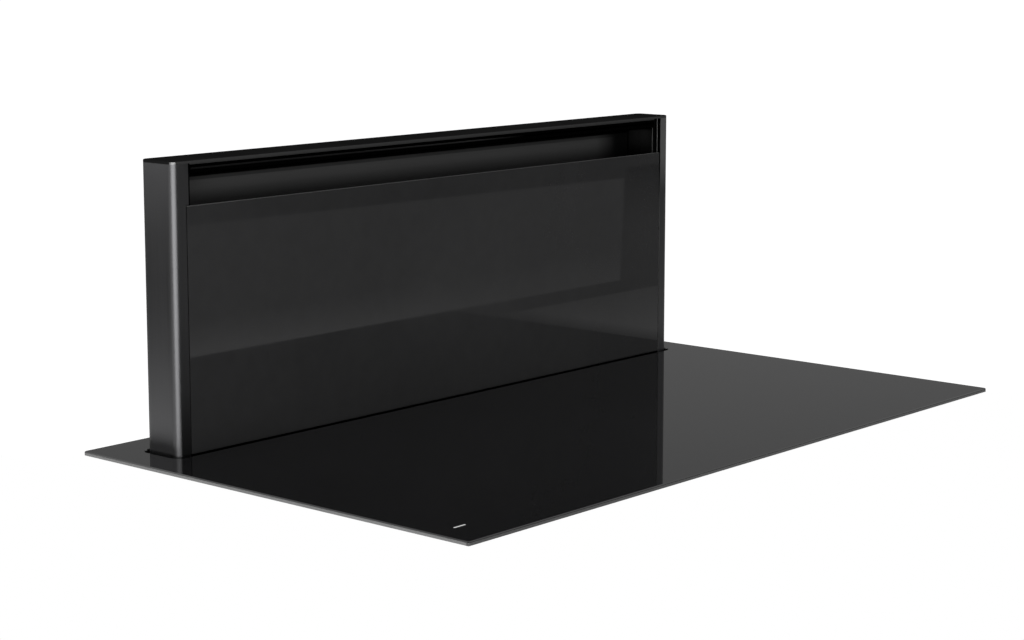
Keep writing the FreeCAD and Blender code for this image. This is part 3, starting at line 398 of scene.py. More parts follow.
def shade_and_light_profiles(colours):
    """Paints shade inside the side profiles and at the foot of the left strip, and highlights on a few edges
    and the upper strip of the right one.
    """
    painted_shade = colours.lamp
    left, right = finishes["left_profile"], finishes["right_profile"]
    low, high = mm_box("tower_profile_right")
    sill = mm_box("front_pane")[1].z
    glass = mm_box("hob_glass")[1].z
    strip_width, hair = 17.0, 0.1
    face = high.x - strip_width

    lip = {"X": (low.x - hair, face + hair), "Y": (low.y + 0.8, high.y - 0.8),
           "Z": (sill - 8, high.z + 1, 60)}
    lip_end = {**lip, "X": (low.x - hair, low.x + 1.5)}
    wall = {"X": (low.x - hair, high.x - 2.4), "Y": (low.y + 10.5, high.y - 5.3)}
    wall_top_shade = {**wall, "Z": (high.z - 14.5, high.z + 1, 4)}
    strip_foot_shade = {"X": (face - hair, high.x - 6), "Y": (low.y - 1, low.y + 0.6), "Z": (low.z, glass + 5, 60)}
    # Painted shade: the inside of the left profile is black, and its front strip darker towards the foot.
    left.coat(painted_shade, mirrored(lip_end))
    left.coat(painted_shade, mirrored(wall))
    left.coat(colours.anodised, mirrored(strip_foot_shade), 0.4)
    # Painted shade: the right lip is black, and the right inner wall is grey with a black top under the cap.
    right.coat(painted_shade, lip)
    right.coat(colours.lining, wall, 0.6)
    right.coat(painted_shade, wall_top_shade)

    # Painted highlights: lighter lines on edges of the right profile, on the wall of its gap and on the top
    # of its strip.
    thin_edge = {"X": around(low.x + 0.4, 0.6), "Y": around(low.y + 5.7, 0.45)}
    broad_edge = {"X": around(face - 0.7, 0.6), "Y": around(low.y + 2.5, 2.5)}
    gap_wall = {"X": around(face, hair), "Y": (low.y - hair, low.y + 3), "Z": (low.z, sill - 70, 50)}
    strip_top = {"X": (face + hair, high.x - 3), "Y": (low.y - 1, low.y + 0.4),
                 "Z": (sill - 4, high.z + 1, 45)}
    for spans, share in ((thin_edge, 0.6), (broad_edge, 1.0), (gap_wall, 0.4), (strip_top, 0.33)):
        right.coat(colours.edge_highlight, spans, share, metal=0.0)


def shade_pane_foot(colours):
    """Paints shade on the front pane: black where it stands in the slot of the hob glass."""
    glass = mm_box("hob_glass")[1].z
    finishes["pane_glass"].coat(colours.lamp, {"Z": (glass - 6, glass + 0.5)})


def shade_intake(colours):
    """Paints shade on the intake lining: darker at the top and at the foot, black towards both ends and black
    under the light bar.
    """
    lining = finishes["intake_lining"]
    top = mm_box("intake_deflector")[1].z
    low, high = mm_box("tower_profile_right")
    # Painted shade: a darker band at the top and at the foot, black at both ends and black under the light
    # bar.
    lining.coat(colours.lining, {"Z": (top - 22.4, top + 1)}, 0.45, fade=0.8)
    lining.coat(colours.lining, {"Z": (top - 60, top - 44)}, 0.5, fade=12)
    lining.coat(colours.lamp, {"X": (low.x - 25, high.x)}, fade=36)
    lining.coat(colours.lamp, mirrored({"X": (low.x - 2, high.x)}), fade=6)
    lining.coat(colours.lamp, {"Z": (top - 18.6, top + 1)}, metal=1.0, fade=1)


def shade_diffuser(colours):
    """Paints shade on the light bar's cover: black at its front edge, and fading to black over its right
    half.
    """
    cover = finishes["smoked_diffuser"]
    edge = mm_box("light_diffuser")[0].y
    end = mm_box("tower_profile_right")[1].x
    cover.coat(colours.lamp, {"Y": (edge - 0.1, edge + 0.3)}, metal=1.0)
    cover.coat(colours.lamp, {"X": (130, end)}, metal=1.0, fade=90)


def highlight_cap(colours):
    """Paints a highlight on the front wall of the cap and on the top of the light bar below it, and puts a
    metal spot on each front corner to catch a glint.
    """
    cap = finishes["cap_coat"]
    low, high = mm_box("tower_cap")
    # Painted highlight: the front wall of the cap is lighter than its top.
    cap.coat(colours.cap_edge, {"Y": (low.y - 1, low.y + 0.9), "Z": (low.z - 1, high.z - 0.8)}, fade=0.3)
    # Painted highlight: a lighter line along the top of the light bar.
    finishes["light_black"].coat(colours.cap_edge, {"Z": (low.z - 1.6, low.z + 1)})
    corner = {"X": (high.x - 5.4, high.x - 0.8), "Y": (low.y + 0.45, low.y + 4.6),
              "Z": (low.z - 1, high.z - 0.9)}
    # Metal spots on the front corners, placed to catch a glint of the key light.
    for spans in (corner, mirrored(corner)):
        cap.coat(colours.steel, spans, 0.2, metal=1.0)


def grind_and_shade_rim(colours):
    """Grinds the rim of the hob glass below its top arris, with painted shade on its front and back walls."""
    wall, arris, rough = 3 * MM, 1.3 * MM, 0.3
    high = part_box("hob_glass")[1]
    reach = (high.x - wall, high.y - wall)
    finishes["plate_glass"].rim(colours.ground_edge, rough, reach, high.z - arris)


def marks(scale):
    return "handling_marks", {"Scale": scale}


def lines(**spreads):
    return "drawn_lines", {f"Across {axis}": spread for axis, spread in spreads.items()}


def finish_rows(colours):
    """Name, colour, pattern, shades, roughness, grain and constants of each finish."""
    metal = {"Metallic": 1.0}
    matt = {"Specular_IOR_Level": 0.0}
    smoked = {"Specular_IOR_Level": 0.2, "Specular_Tint": (0.0, 0.0, 0.0, 1.0)}
    # Painted light: a faint glow that makes the printed start mark brighter.
    painted_glow = {"Emission_Color": (1.0, 1.0, 1.0, 1.0), "Emission_Strength": 0.2}
    zinc = ("zinc_flowers", {"Scale": 90.0})
    anodised = (colours.anodised, lines(Z=3.0), (0.9, 1.1), (0.3, 0.38), (3500.0, 0.06, 0.0002), metal)
    moulded = (1800.0, 0.2, 0.0003)
    return [
        # Glass
        ("plate_glass", colours.glass, marks(4.0), (0.8, 1.4), (0.01, 0.035), None, {"IOR": 1.5}),
        ("pane_glass", colours.pane, marks(5.0), (0.85, 1.2), (0.015, 0.05), None, {"IOR": 1.45}),
        ("pane_arris", colours.arris, marks(20.0), (0.85, 1.1), (0.3, 0.4), None, {}),
        # Coated and painted pieces
        ("cap_coat", colours.cap, marks(12.0), (0.85, 1.2), (0.3, 0.4), (2500.0, 0.08, 0.0002), matt),
        ("light_black", colours.lamp, marks(20.0), (0.8, 1.2), (0.5, 0.6), None, matt),
        ("black_paint", colours.paint, marks(9.0), (0.85, 1.2), (0.42, 0.55), (1600.0, 0.18, 0.0004), {}),
        ("intake_lining", colours.lining, lines(X=5.0, Z=2000.0), (0.9, 1.1), (0.4, 0.5),
         (2500.0, 0.05, 0.0002), {"IOR": 1.3}),
        # Metals
        ("left_profile", *anodised),
        ("right_profile", *anodised),
        ("raw_aluminium", colours.aluminium, lines(X=8.0, Z=1500.0), (0.85, 1.08), (0.3, 0.45),
         (3000.0, 0.08, 0.0002), metal),
        ("galvanised", colours.zinc, zinc, (0.89, 1.06), (0.5, 0.4), (900.0, 0.05, 0.0003), metal),
        ("bright_steel", colours.steel, marks(30.0), (0.82, 1.08), (0.2, 0.36),
         (4000.0, 0.06, 0.0002), metal),
        ("bronze", colours.bronze, marks(25.0), (0.75, 1.1), (0.28, 0.42), None, metal),
        ("copper", colours.copper, marks(40.0), (0.7, 1.1), (0.25, 0.4), (1200.0, 0.3, 0.0004), metal),
        # Plastics, boards and rubber
        ("smoked_diffuser", colours.diffuser, marks(20.0), (0.9, 1.1), (0.3, 0.4), None, smoked),
        ("black_plastic", colours.black_plastic, marks(14.0), (0.85, 1.25), (0.4, 0.55), moulded, {}),
        ("grey_plastic", colours.grey_plastic, marks(12.0), (0.9, 1.07), (0.42, 0.55), moulded, {}),
        ("white_plastic", colours.white_plastic, marks(15.0), (0.93, 1.03), (0.38, 0.5),
         (2200.0, 0.1, 0.0003), {}),
        ("start_print", colours.white_plastic, marks(15.0), (0.93, 1.03), (0.38, 0.5), None, painted_glow),
        ("board_green", colours.board, marks(60.0), (0.8, 1.15), (0.3, 0.42), (700.0, 0.15, 0.0003), {}),
        ("black_rubber", colours.rubber, marks(20.0), (0.8, 1.3), (0.6, 0.75), (1300.0, 0.25, 0.0004), {}),
    ]


# Nodes with a finish of their own. The others have the finish of their slot.
OWN_FINISHES = {
    "hob_glass": "plate_glass",
    "tower_cap": "cap_coat",
    "tower_profile_left": "left_profile",
    "tower_profile_right": "right_profile",
    "front_pane": "pane_glass",
    "light_bar": "light_black",
    "light_diffuser": "smoked_diffuser",
    "intake_deflector": "intake_lining",
}


class HOOD_OT_finishes(bpy.types.Operator):
    """Give every part of the frame its finish"""
    bl_idname = "hood.finishes"
    bl_label = "Finishes"

    def execute(self, context):
        colours = context.scene.hood_colours
        for name, *looks, constants in finish_rows(colours):
            finishes[name] = Finish(name, *looks, **constants)
        # Painted shade and highlights on the tower, and the ground rim of the hob glass with painted shade
        for add_painted_shading in (shade_and_light_profiles, shade_pane_foot, shade_intake, shade_diffuser, highlight_cap, grind_and_shade_rim):
            add_painted_shading(colours)
        for part in frame["record"]["subparts"]:
            finish = OWN_FINISHES.get(part["node"], part["material_slot"])
            for slot in nodes_of[part["node"]].material_slots:
                slot.material = finishes[finish].material
        return {"FINISHED"}


# Meshes of the small parts
def stacked(profile, length=0.0, sides=24):
    """A shape of stacked outlines in millimetres, each (radius, height) or (radius, height, waist).

    An outline is drawn out along X by the length. Every third corner of one with a waist is pulled in by it.
    """
    shape = bmesh.new()
    rings = []
    for radius, height, *waist in profile:
        ring = []
        for step in range(sides):
            angle = math.tau * (step + 0.5) / sides
            reach = radius * (waist[0] if waist and step % 3 == 1 else 1.0)
            shift = math.copysign(length / 2, math.cos(angle))
            corner = Vector((reach * math.cos(angle) + shift, reach * math.sin(angle), height))
            ring.append(shape.verts.new(corner * MM))
        rings.append(ring)
    for lower, upper in zip(rings, rings[1:]):
        for n in range(sides):
            shape.faces.new((lower[n - 1], lower[n], upper[n], upper[n - 1]))
    shape.faces.new(list(reversed(rings[0])))
    shape.faces.new(rings[-1])
    return shape


def as_mesh(shape, name):
    """The finished mesh of a bmesh, smooth but for its sharp edges."""
    mesh = bpy.data.meshes.new(name)
    shape.to_mesh(mesh)
    shape.free()
    mesh.shade_smooth()
    mesh.set_sharp_from_angle(angle=math.radians(38.0))
    return mesh


def points_mesh(name, places):
    """Loose points, each with the turn of the copy that stands on it."""
    mesh = bpy.data.meshes.new(name)
    mesh.from_pydata([place for place, _ in places], [], [])
    turns = mesh.attributes.new("turn", "QUATERNION", "POINT")
    for item, (_, turn) in zip(turns.data, places):
        item.value = turn
    return mesh


def loops_mesh(name, loops):
    """Closed lines of edges, one for each loop of points."""
    points = []
    edges = []
    for loop in loops:
        first = len(points)
        points.extend(loop)
        edges.extend((first + n, first + (n + 1) % len(loop)) for n in range(len(loop)))
    mesh = bpy.data.meshes.new(name)
    mesh.from_pydata(points, edges, [])
    return mesh


def facing(direction, along=None):
    """The turn that takes Z to a direction, and X to along where that is given."""
    up = Vector(direction)
    if along is None:
        return up.to_track_quat("Z", "Y")
    side = Vector(along)
    return Matrix((side, up.cross(side), up)).transposed().to_quaternion()


# Geometry trees of the small parts
def geometry_tree(inputs):
    inputs = {"Geometry": "Geometry", "Finish": "Material", **inputs}
    return node_group("Geometry", inputs, "Geometry", "Geometry")


def finished(nodes, given, geometry):
    """Plain geometry with the given finish."""
    plain = nodes.result("GeometryNodeRealizeInstances", {"Geometry": geometry})
    return nodes.result("GeometryNodeSetMaterial", {"Geometry": plain, "Material": given["Finish"]})


def copies_on(nodes, given, points, turn):
    """Copies of the given piece on points."""
    piece = nodes.add("GeometryNodeObjectInfo", {"Object": given["Piece"]}).outputs["Geometry"]
    inputs = {"Points": points, "Instance": piece, "Rotation": turn}
    return nodes.result("GeometryNodeInstanceOnPoints", inputs)


@geometry_tree({"Piece": "Object"})
def placed_copies(nodes, given):
    """A copy of a piece on every point, turned by the point's own turn."""
    turn = nodes.result("GeometryNodeInputNamedAttribute", {"Name": "turn"}, data_type="QUATERNION")
    return finished(nodes, given, copies_on(nodes, given, given["Geometry"], turn))


@geometry_tree({"Piece": "Object", "Count": "Int", "Radius": "Float", "Middle": "Vector", "Turn": "Vector"})
def ring_of_copies(nodes, given):
    """Copies of a piece spread round a circle, each turned to face outwards."""
    circle = nodes.result("GeometryNodeMeshCircle", {"Vertices": given["Count"], "Radius": given["Radius"]})
    step = nodes.math("DIVIDE", math.tau, given["Count"])
    angle = nodes.math("MULTIPLY", nodes.result("GeometryNodeInputIndex"), step)
    outwards = nodes.result("FunctionNodeAxisAngleToRotation", {"Axis": UP, "Angle": angle})
    copies = copies_on(nodes, given, circle, outwards)
    turn = nodes.result("FunctionNodeEulerToRotation", {"Euler": given["Turn"]})
    inputs = {"Geometry": copies, "Translation": given["Middle"], "Rotation": turn}
    return finished(nodes, given, nodes.result("GeometryNodeTransform", inputs))


@geometry_tree({"Radius": "Float"})
def rolled_edge(nodes, given):
    """A round bar that follows lines of edges."""
    path = nodes.result("GeometryNodeMeshToCurve", {"Mesh": given["Geometry"]})
    section = nodes.result("GeometryNodeCurvePrimitiveCircle", {"Resolution": 10, "Radius": given["Radius"]},
                           mode="RADIUS")
    bar = nodes.result("GeometryNodeCurveToMesh", {"Curve": path, "Profile Curve": section})
    return finished(nodes, given, nodes.result("GeometryNodeSetShadeSmooth", {"Geometry": bar}))


# Ways to make a piece
def show(name, data):
    """A new object of the scene, with its mesh, light or camera."""
    shown = bpy.data.objects.new(name, data)
    bpy.context.scene.collection.objects.link(shown)
    return shown


def settle(piece, body, finish, replaced=()):
    """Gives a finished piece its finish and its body."""
    piece.data.materials.clear()
    piece.data.materials.append(finishes[finish].material)
    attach(piece, body)
    if replaced:
        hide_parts(*replaced)


def grow(name, mesh, tree, finish, body="base", replaced=(), pattern=None, **values):
    """A piece that a geometry tree makes of a mesh, with an optional shape that it repeats."""
    piece = show(name, mesh)
    modifier = piece.modifiers.new("shape", "NODES")
    modifier.node_group = GROUPS[tree]
    given = {"Finish": finishes[finish].material, **values}
    if pattern:
        given["Piece"] = bpy.data.objects.new("pattern", as_mesh(pattern, "pattern"))
    for socket in GROUPS[tree].interface.items_tree:
        if socket.in_out == "INPUT" and socket.name in given:
            modifier[socket.identifier] = given[socket.name]
    graph = bpy.context.evaluated_depsgraph_get()
    made = bpy.data.meshes.new_from_object(piece.evaluated_get(graph))
    piece.modifiers.clear()
    piece.data = made
    if pattern:
        bpy.data.objects.remove(given["Piece"])
    if not made.polygons:
        raise RuntimeError(f"{name} came out empty")
    settle(piece, body, finish, replaced)


def scatter(name, places, shape, finish, body="base", replaced=()):
    """Copies of a shape, each at its own place and turn."""
    grow(name, points_mesh(name, places), "placed_copies", finish, body, replaced, shape)


def spread_round(name, rib, finish, count, radius, middle, turn):
    """Copies of a rib round a circle, each along the circle's axis."""
    rib.transform(Matrix.Rotation(math.pi / 2, 4, "Y"))
    grow(name, bpy.data.meshes.new(name), "ring_of_copies", finish, pattern=rib,
         Count=count, Radius=radius, Middle=middle, Turn=turn)


def roll(name, loops, finish, radius):
    """A round bar along closed lines."""
    grow(name, loops_mesh(name, loops), "rolled_edge", finish, Radius=radius)


def put(name, shape, place, turn, body, finish, replaced=()):
    """A single shape at its place and turn."""
    shape.transform(Matrix.Translation(place) @ turn.to_matrix().to_4x4())
    settle(show(name, as_mesh(shape, name)), body, finish, replaced)


# Places read from the frame
def middle_of(node):
    low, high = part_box(node)
    return (low + high) / 2


def merged(node):
    """A copy of a part's mesh with its corners joined."""
    shape = bmesh.new()
    shape.from_mesh(nodes_of[node].data)
    bmesh.ops.remove_doubles(shape, verts=shape.verts, dist=JOINED)
    return shape


def islands(shape):
    """The separate shells or closed lines of a shape, as lists of corners."""
    left = set(shape.verts)
    while left:
        front = [left.pop()]
        island = []
        while front:
            corner = front.pop()
            island.append(corner.co.copy())
            for edge in corner.link_edges:
                other = edge.other_vert(corner)
                if other in left:
                    left.remove(other)
                    front.append(other)
        yield island


def screw_seats():
    """Where each screw's head sits and which way it faces, read from the screws of the frame."""
    shape = merged("case_screws")
    seats = []
    for island in islands(shape):
        low, high = (Vector(map(pick, zip(*island))) for pick in (min, max))
        size = high - low
        axis = max(range(3), key=lambda n: size[n])
        middle = (low + high) / 2
        wide = size[(axis + 1) % 3] / 2
        rim = [corner[axis] for corner in island
               if max(abs(corner[n] - middle[n]) for n in range(3) if n != axis) > 0.9 * wide]
        out = 1.0 if sum(rim) / len(rim) > middle[axis] else -1.0
        seat = middle.copy()
        seat[axis] = min(rim) if out > 0 else max(rim)
        direction = Vector((0.0, 0.0, 0.0))
        direction[axis] = out
        seats.append((seat, facing(direction)))
    shape.free()
    return seats


def front_outline(node):
    """The longest outline of a part's flat front face."""
    shape = merged(node)
    level = min(corner.co.y for corner in shape.verts)
    flat = {face for face in shape.faces if all(corner.co.y - level < SHARP for corner in face.verts)}
    others = [edge for edge in shape.edges if sum(face in flat for face in edge.link_faces) != 1]
    bmesh.ops.delete(shape, geom=others, context="EDGES")
    outlines = list(islands(shape))
    shape.free()
    return max(outlines, key=lambda loop: sum((a - b).length for a, b in zip(loop, loop[1:])))


class HOOD_OT_screws(bpy.types.Operator):
    """Pan-head screws with a cross recess"""
    bl_idname = "hood.screws"
    bl_label = "Screws"

    def execute(self, context):
        profile = [(0.7, -6.0), (1.7, -5.0), (1.7, 0.0), (3.8, 0.0), (3.8, 0.7), (3.45, 1.5), (2.75, 2.0),
                   (2.1, 2.2), (1.75, 2.2, 0.36), (1.55, 1.0, 0.4)]
        scatter("screws", screw_seats(), stacked(profile, sides=12), "bright_steel", replaced=["case_screws"])
        return {"FINISHED"}


class HOOD_OT_housing(bpy.types.Operator):
    """Pressed beads and spot welds of the sheet housing"""
    bl_idname = "hood.housing"
    bl_label = "Housing beads"

    def execute(self, context):
        sizes = context.scene.hood_details
        low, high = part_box("housing_back")
        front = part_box("housing_front")[0].y
        self.add_beads(sizes, low, high, front)
        self.add_welds(sizes, low, high, front)
        return {"FINISHED"}

    def add_beads(self, sizes, low, high, front):
        """Upright beads on all four sides, and shorter ones below the control box."""
        side = high.x
        box_low, box_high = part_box("control_box")
        blower_left, blower_right = (corner.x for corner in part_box("blower_back_plate"))
        foot = low.z + 45 * MM
        top = box_high.z + 20 * MM
        ceiling = box_low.z - 25 * MM
        long_beads = [(side * share, high.y, BACK) for share in (-0.75, -0.45, -0.15, 0.15, 0.45, 0.75)]
        long_beads += [(blower_right + (side - blower_right) * share, front, FRONT)
                       for share in (0.3, 0.55, 0.8)]
        long_beads += [(side * out[0], (front + high.y) / 2, out) for out in (LEFT, RIGHT)]
        short_beads = [(blower_left - (side + blower_left) * share, front, FRONT)
                       for share in (0.25, 0.5, 0.75)]
        half = sizes.bead_width / MM / 2
        rise = sizes.bead_height / MM
        profile = [(half, -0.2), (half, 0.0), (half * 0.86, rise * 0.2), (half * 0.66, rise * 0.8),
                   (half * 0.5, rise)]
        for name, beads, end in (("long_beads", long_beads, top), ("short_beads", short_beads, ceiling)):
            places = [((x, y, (end + foot) / 2), facing(out, UP)) for x, y, out in beads]
            scatter(name, places, stacked(profile, (end - foot) / MM - 2 * half), "galvanised")

    def add_welds(self, sizes, low, high, front):
        """Spot welds along the flanges, between the screws."""
        edge = 9 * MM
        size = high - low
        places = []
        for face, way in ((high.y, BACK), (front, FRONT)):
            turn = facing(way)
            for column in (low.x + edge, high.x - edge):
                places += [((column, face, low.z + edge + size.z * share), turn)
                           for share in (0.07, 0.14, 0.28, 0.35, 0.49, 0.56, 0.7, 0.77)]
            places += [((low.x + size.x * share, face, low.z + edge), turn)
                       for share in (0.14, 0.22, 0.35, 0.43, 0.57, 0.65, 0.78, 0.86)]
        half = sizes.weld_width / MM / 2
        dimple = [(half, -0.1), (half, 0.05), (half * 0.86, 0.25), (half * 0.66, 0.2), (half * 0.5, 0.06)]
        scatter("spot_welds", places, stacked(dimple, sides=16), "galvanised")


class HOOD_OT_blower(bpy.types.Operator):
    """Rolled rim of the blower, and the fins and end cap of its motor"""
    bl_idname = "hood.blower"
    bl_label = "Blower rim and motor"

    def execute(self, context):
        sizes = context.scene.hood_details
        roll("blower_rim", [front_outline("blower_front_plate")], "galvanised", sizes.rim_radius)
        low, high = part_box("blower_motor")
        axle = middle_of("motor_shaft")
        can, flange, end_room = 42.0, 3.0, 8.0
        span = (high.y - low.y) / MM - flange
        rise = sizes.fin_height / MM
        fin = stacked([(0.9, -1.0), (0.9, rise * 0.75), (0.55, rise)], span - end_room, 12)
        spread_round("motor_fins", fin, "black_paint", sizes.fin_count, can * MM,
                     (axle.x, low.y + span * MM / 2, axle.z), (-math.pi / 2, 0.0, 0.0))
        bell = [(can + 1.2, -3.0), (can + 1.2, 1.4), (can, 2.4), (34.0, 3.2), (31.0, 2.2), (20.0, 3.4),
                (17.0, 6.4), (15.5, 7.0), (9.0, 7.0), (8.0, 5.6), (5.0, 5.6), (4.4, 6.4)]
        put("motor_end_cap", stacked(bell, sides=48), (axle.x, low.y, axle.z), facing(FRONT),
            "base", "raw_aluminium")
        return {"FINISHED"}


class HOOD_OT_outlet(bpy.types.Operator):
    """Rings round the outlet collar, webs at its foot and ribs on its flaps"""
    bl_idname = "hood.outlet"
    bl_label = "Outlet rings and ribs"

    def execute(self, context):
        sizes = context.scene.hood_details
        low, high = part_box("outlet_collar")
        pin = middle_of("flap_pin")
        height = (low.z + high.z) / 2
        tube = 75.0 * MM
        self.add_rings(sizes, high.x, pin.y, height, tube)
        flange, web_length = 3.0, 20.0
        web = stacked([(1.0, -1.5), (1.0, 3.5), (0.7, 4.2)], web_length, 12)
        spread_round("collar_webs", web, "black_plastic", sizes.web_count, tube,
                     (low.x + (flange + web_length / 2) * MM, pin.y, height), (0.0, math.pi / 2, 0.0))
        self.add_flap_ribs(pin, height)
        return {"FINISHED"}

    def add_rings(self, sizes, end, across, height, tube):
        """A ring near the end of the collar, and a pair further in."""
        steps = 72
        angles = [math.tau * n / steps for n in range(steps)]
        circle = [(across + tube * math.cos(angle), height + tube * math.sin(angle)) for angle in angles]
        loops = [[(end - inset * MM, y, z) for y, z in circle] for inset in (4, 18, 24)]
        roll("collar_rings", loops, "black_plastic", sizes.ring_radius)

    def add_flap_ribs(self, pin, height):
        """Four ribs across the outer face of each flap."""
        face = pin.x + 0.6 * MM
        for name, out in (("front", FRONT), ("back", BACK)):
            rib = stacked([(1.2, -0.3), (1.2, 0.5), (0.7, 0.9)], 34.0, 12)
            y = pin.y + out[1] * 36 * MM
            places = [((face, y, height + rise * MM), facing(RIGHT, BACK)) for rise in (-36, -12, 12, 36)]
            scatter(f"flap_ribs_{name}", places, rib, "grey_plastic", body=f"{name}_flap")


class HOOD_OT_control_box(bpy.types.Operator):
    """Louvres of the control box lid, and its cable gland"""
    bl_idname = "hood.control_box"
    bl_label = "Control box"

    def execute(self, context):
        sizes = context.scene.hood_details
        self.add_louvres(sizes)
        self.add_gland(sizes)
        return {"FINISHED"}

    def add_louvres(self, sizes):
        """A column of louvres in the middle of the lid."""
        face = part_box("control_box_lid")[0].y
        middle = middle_of("control_box_lid")
        pitch = 11.0 * MM
        start = middle.z - pitch * (sizes.louvre_count - 1) / 2
        places = [((middle.x, face, start + pitch * n), facing(FRONT, RIGHT))
                  for n in range(sizes.louvre_count)]
        hood = [(3.4, -0.3), (3.4, 0.2), (2.9, 1.2), (1.8, 1.8), (0.8, 2.0)]
        scatter("lid_louvres", places, stacked(hood, sizes.louvre_length / MM), "grey_plastic")

    def add_gland(self, sizes):
        """A nut with a domed end, and the grips round it."""
        axis = middle_of("cable_gland")
        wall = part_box("control_box")[0].x
        waist, grip_place = 10.2, 9.1
        nut = [(7.9, -4.0), (7.9, 0.0), (11.0, 0.0), (11.0, 3.2), (9.4, 3.6), (9.4, 5.6), (waist, 5.8),
               (waist, 12.4), (9.2, 15.4), (7.6, 17.4), (6.0, 18.0), (5.2, 17.6), (5.0, 16.8), (5.0, 3.0)]
        put("gland_nut", stacked(nut, sides=36), (wall, axis.y, axis.z), facing(LEFT),
            "base", "black_plastic", ["cable_gland"])
        grip = stacked([(0.7, -0.6), (0.7, 0.4), (0.4, 0.75)], 5.0, 12)
        spread_round("gland_grip", grip, "black_plastic", sizes.grip_count, waist * MM,
                     (wall - grip_place * MM, axis.y, axis.z), (0.0, math.pi / 2, 0.0))


class HOOD_OT_trim(bpy.types.Operator):
    """Bead on the light bar, ground edge of the pane, start mark on the glass and eased sheet edges"""
    bl_idname = "hood.trim"
    bl_label = "Trim and edges"

    def execute(self, context):
        self.add_bead()
        self.add_arris()
        self.add_mark()
        for name in ("back_panel", "control_box_lid"):
            self.ease_edges(nodes_of[name], context.scene.hood_details.edge)
        return {"FINISHED"}

    def add_bead(self):
        low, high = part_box("light_bar")
        drop = 5.6 * MM
        bead = stacked([(0.9, -0.3), (0.9, 0.2), (0.5, 0.5)], (high.x - low.x) / MM - 2.0, 12)
        put("light_bead", bead, (0.0, low.y, high.z - drop), facing(FRONT, RIGHT),
            "tower", "smoked_diffuser")

    def add_arris(self):
        low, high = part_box("front_pane")
        inset = 0.5 * MM
        arris = stacked([(0.55, -0.4), (0.55, 0.1), (0.3, 0.3)], (high.x - low.x) / MM - 1.2, 12)
        put("pane_arris", arris, (0.0, low.y + inset, high.z), facing(UP, RIGHT),
            "tower", "pane_arris")

    def add_mark(self):
        low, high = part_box("hob_glass")
        from_left, from_front, length = 33.2 * MM, 40.9 * MM, 13.0
        # White print on the glass, with a faint painted glow.
        mark = stacked([(1.1, -0.02), (1.1, 0.04), (1.0, 0.06)], length, 16)
        put("start_mark", mark, (low.x + from_left, low.y + from_front, high.z), facing(UP),
            "base", "start_print")

    def ease_edges(self, node, width):
        """Rounds the sharp edges of a part."""
        weld = node.modifiers.new("weld", "WELD")
        weld.merge_threshold = JOINED
        round_edge = node.modifiers.new("edge", "BEVEL")
        round_edge.width = width
        round_edge.segments = 2
        round_edge.limit_method = "ANGLE"
        round_edge.angle_limit = math.radians(40.0)
        round_edge.harden_normals = True


# Stage
GROUND = CAD_BOX[0].z - 0.5 * MM
CARD_REACH = 2 * MM
GLASS_LOW, GLASS_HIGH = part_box("hob_glass")


def hide_from(sheet, *rays):
    for kind in rays:
        setattr(sheet, f"visible_{kind}", False)


def stage_sheet(name, corners, material):
    """A flat sheet of the stage, given by its corners."""
    mesh = bpy.data.meshes.new(name)
    mesh.from_pydata(corners, [], [range(len(corners))])
    mesh.materials.append(material)
    sheet = show(name, mesh)
    return sheet


def rectangle(left, right, front, back):
    return [(left, front), (right, front), (right, back), (left, back)]


def seen_rays(nodes):
    """1 for rays from the camera, from a mirror or through glass, and 0 for the others."""
    path = nodes.add("ShaderNodeLightPath").outputs
    seen = nodes.math("MAXIMUM", path["Is Camera Ray"], path["Is Glossy Ray"])
    return nodes.math("MAXIMUM", seen, path["Is Transmission Ray"])


def floor_material(colour, glow):
    """A matt floor that also glows to the eye, so that it is white and still takes a shadow."""
    material = bpy.data.materials.new("studio_floor")
    nodes = emptied(material)
    matt = nodes.result("ShaderNodeBsdfDiffuse", {"Color": (*colour, 1.0)})
    light = nodes.result("ShaderNodeEmission", {"Strength": nodes.math("MULTIPLY", seen_rays(nodes), glow)})
    both = nodes.result("ShaderNodeAddShader", {0: matt, 1: light})
    nodes.add("ShaderNodeOutputMaterial", {"Surface": both})
    return material


def glow_material(name, level, clear=None):
    """A glow that is even or follows from the place, and is clear where a function of the nodes gives 1."""
    material = bpy.data.materials.new(name)
    nodes = emptied(material)
    if callable(level):
        level = level(nodes, nodes.parts(nodes.add("ShaderNodeTexCoord").outputs["Object"]))
    shown = nodes.result("ShaderNodeEmission", {"Strength": level})
    if clear:
        open_air = nodes.result("ShaderNodeBsdfTransparent")
        shown = nodes.result("ShaderNodeMixShader", {0: clear(nodes), 1: shown, 2: open_air})
    nodes.add("ShaderNodeOutputMaterial", {"Surface": shown})
    return material


def from_below(nodes):
    return nodes.add("ShaderNodeNewGeometry").outputs["Backfacing"]


def flag(name, corners, level, clear=None):
    """A grey card that only shows in reflections."""
    sheet = stage_sheet(name, corners, glow_material(name, level, clear))
    hide_from(sheet, "camera", "diffuse", "shadow")


# Upright flags: where they start and end on the ground, their heights and their levels
UPRIGHT_FLAGS = {
    "grey_wall": ((-2.5, 4.6), (4.6, -1.6), (GROUND, 1.0), 0.22),
    "side_foot": ((-0.7, 1.37), (-1.62, 0.35), (GROUND, -0.14), 1.6),
    "side_band": ((-0.7, 1.35), (-1.6, 0.35), (-0.14, 0.18), 0.0),
    "side_field": ((-0.7, 1.37), (-1.62, 0.35), (0.18, 1.0), 1.35),
    "corner_card": ((-1.77, -2.97), (-0.6, -3.2), (-0.5, 0.55), 6.0),
    "front_wall": ((-0.8, -4.5), (5.0, -3.0), (0.0, 2.6), 0.32),
}

# Borders of the flags that lie on the worktop
GLOW_FRONT = -0.44
GLOW_BACK = -0.236
CORNER_LEFT = 1.4
EDGE_BACK = -0.18


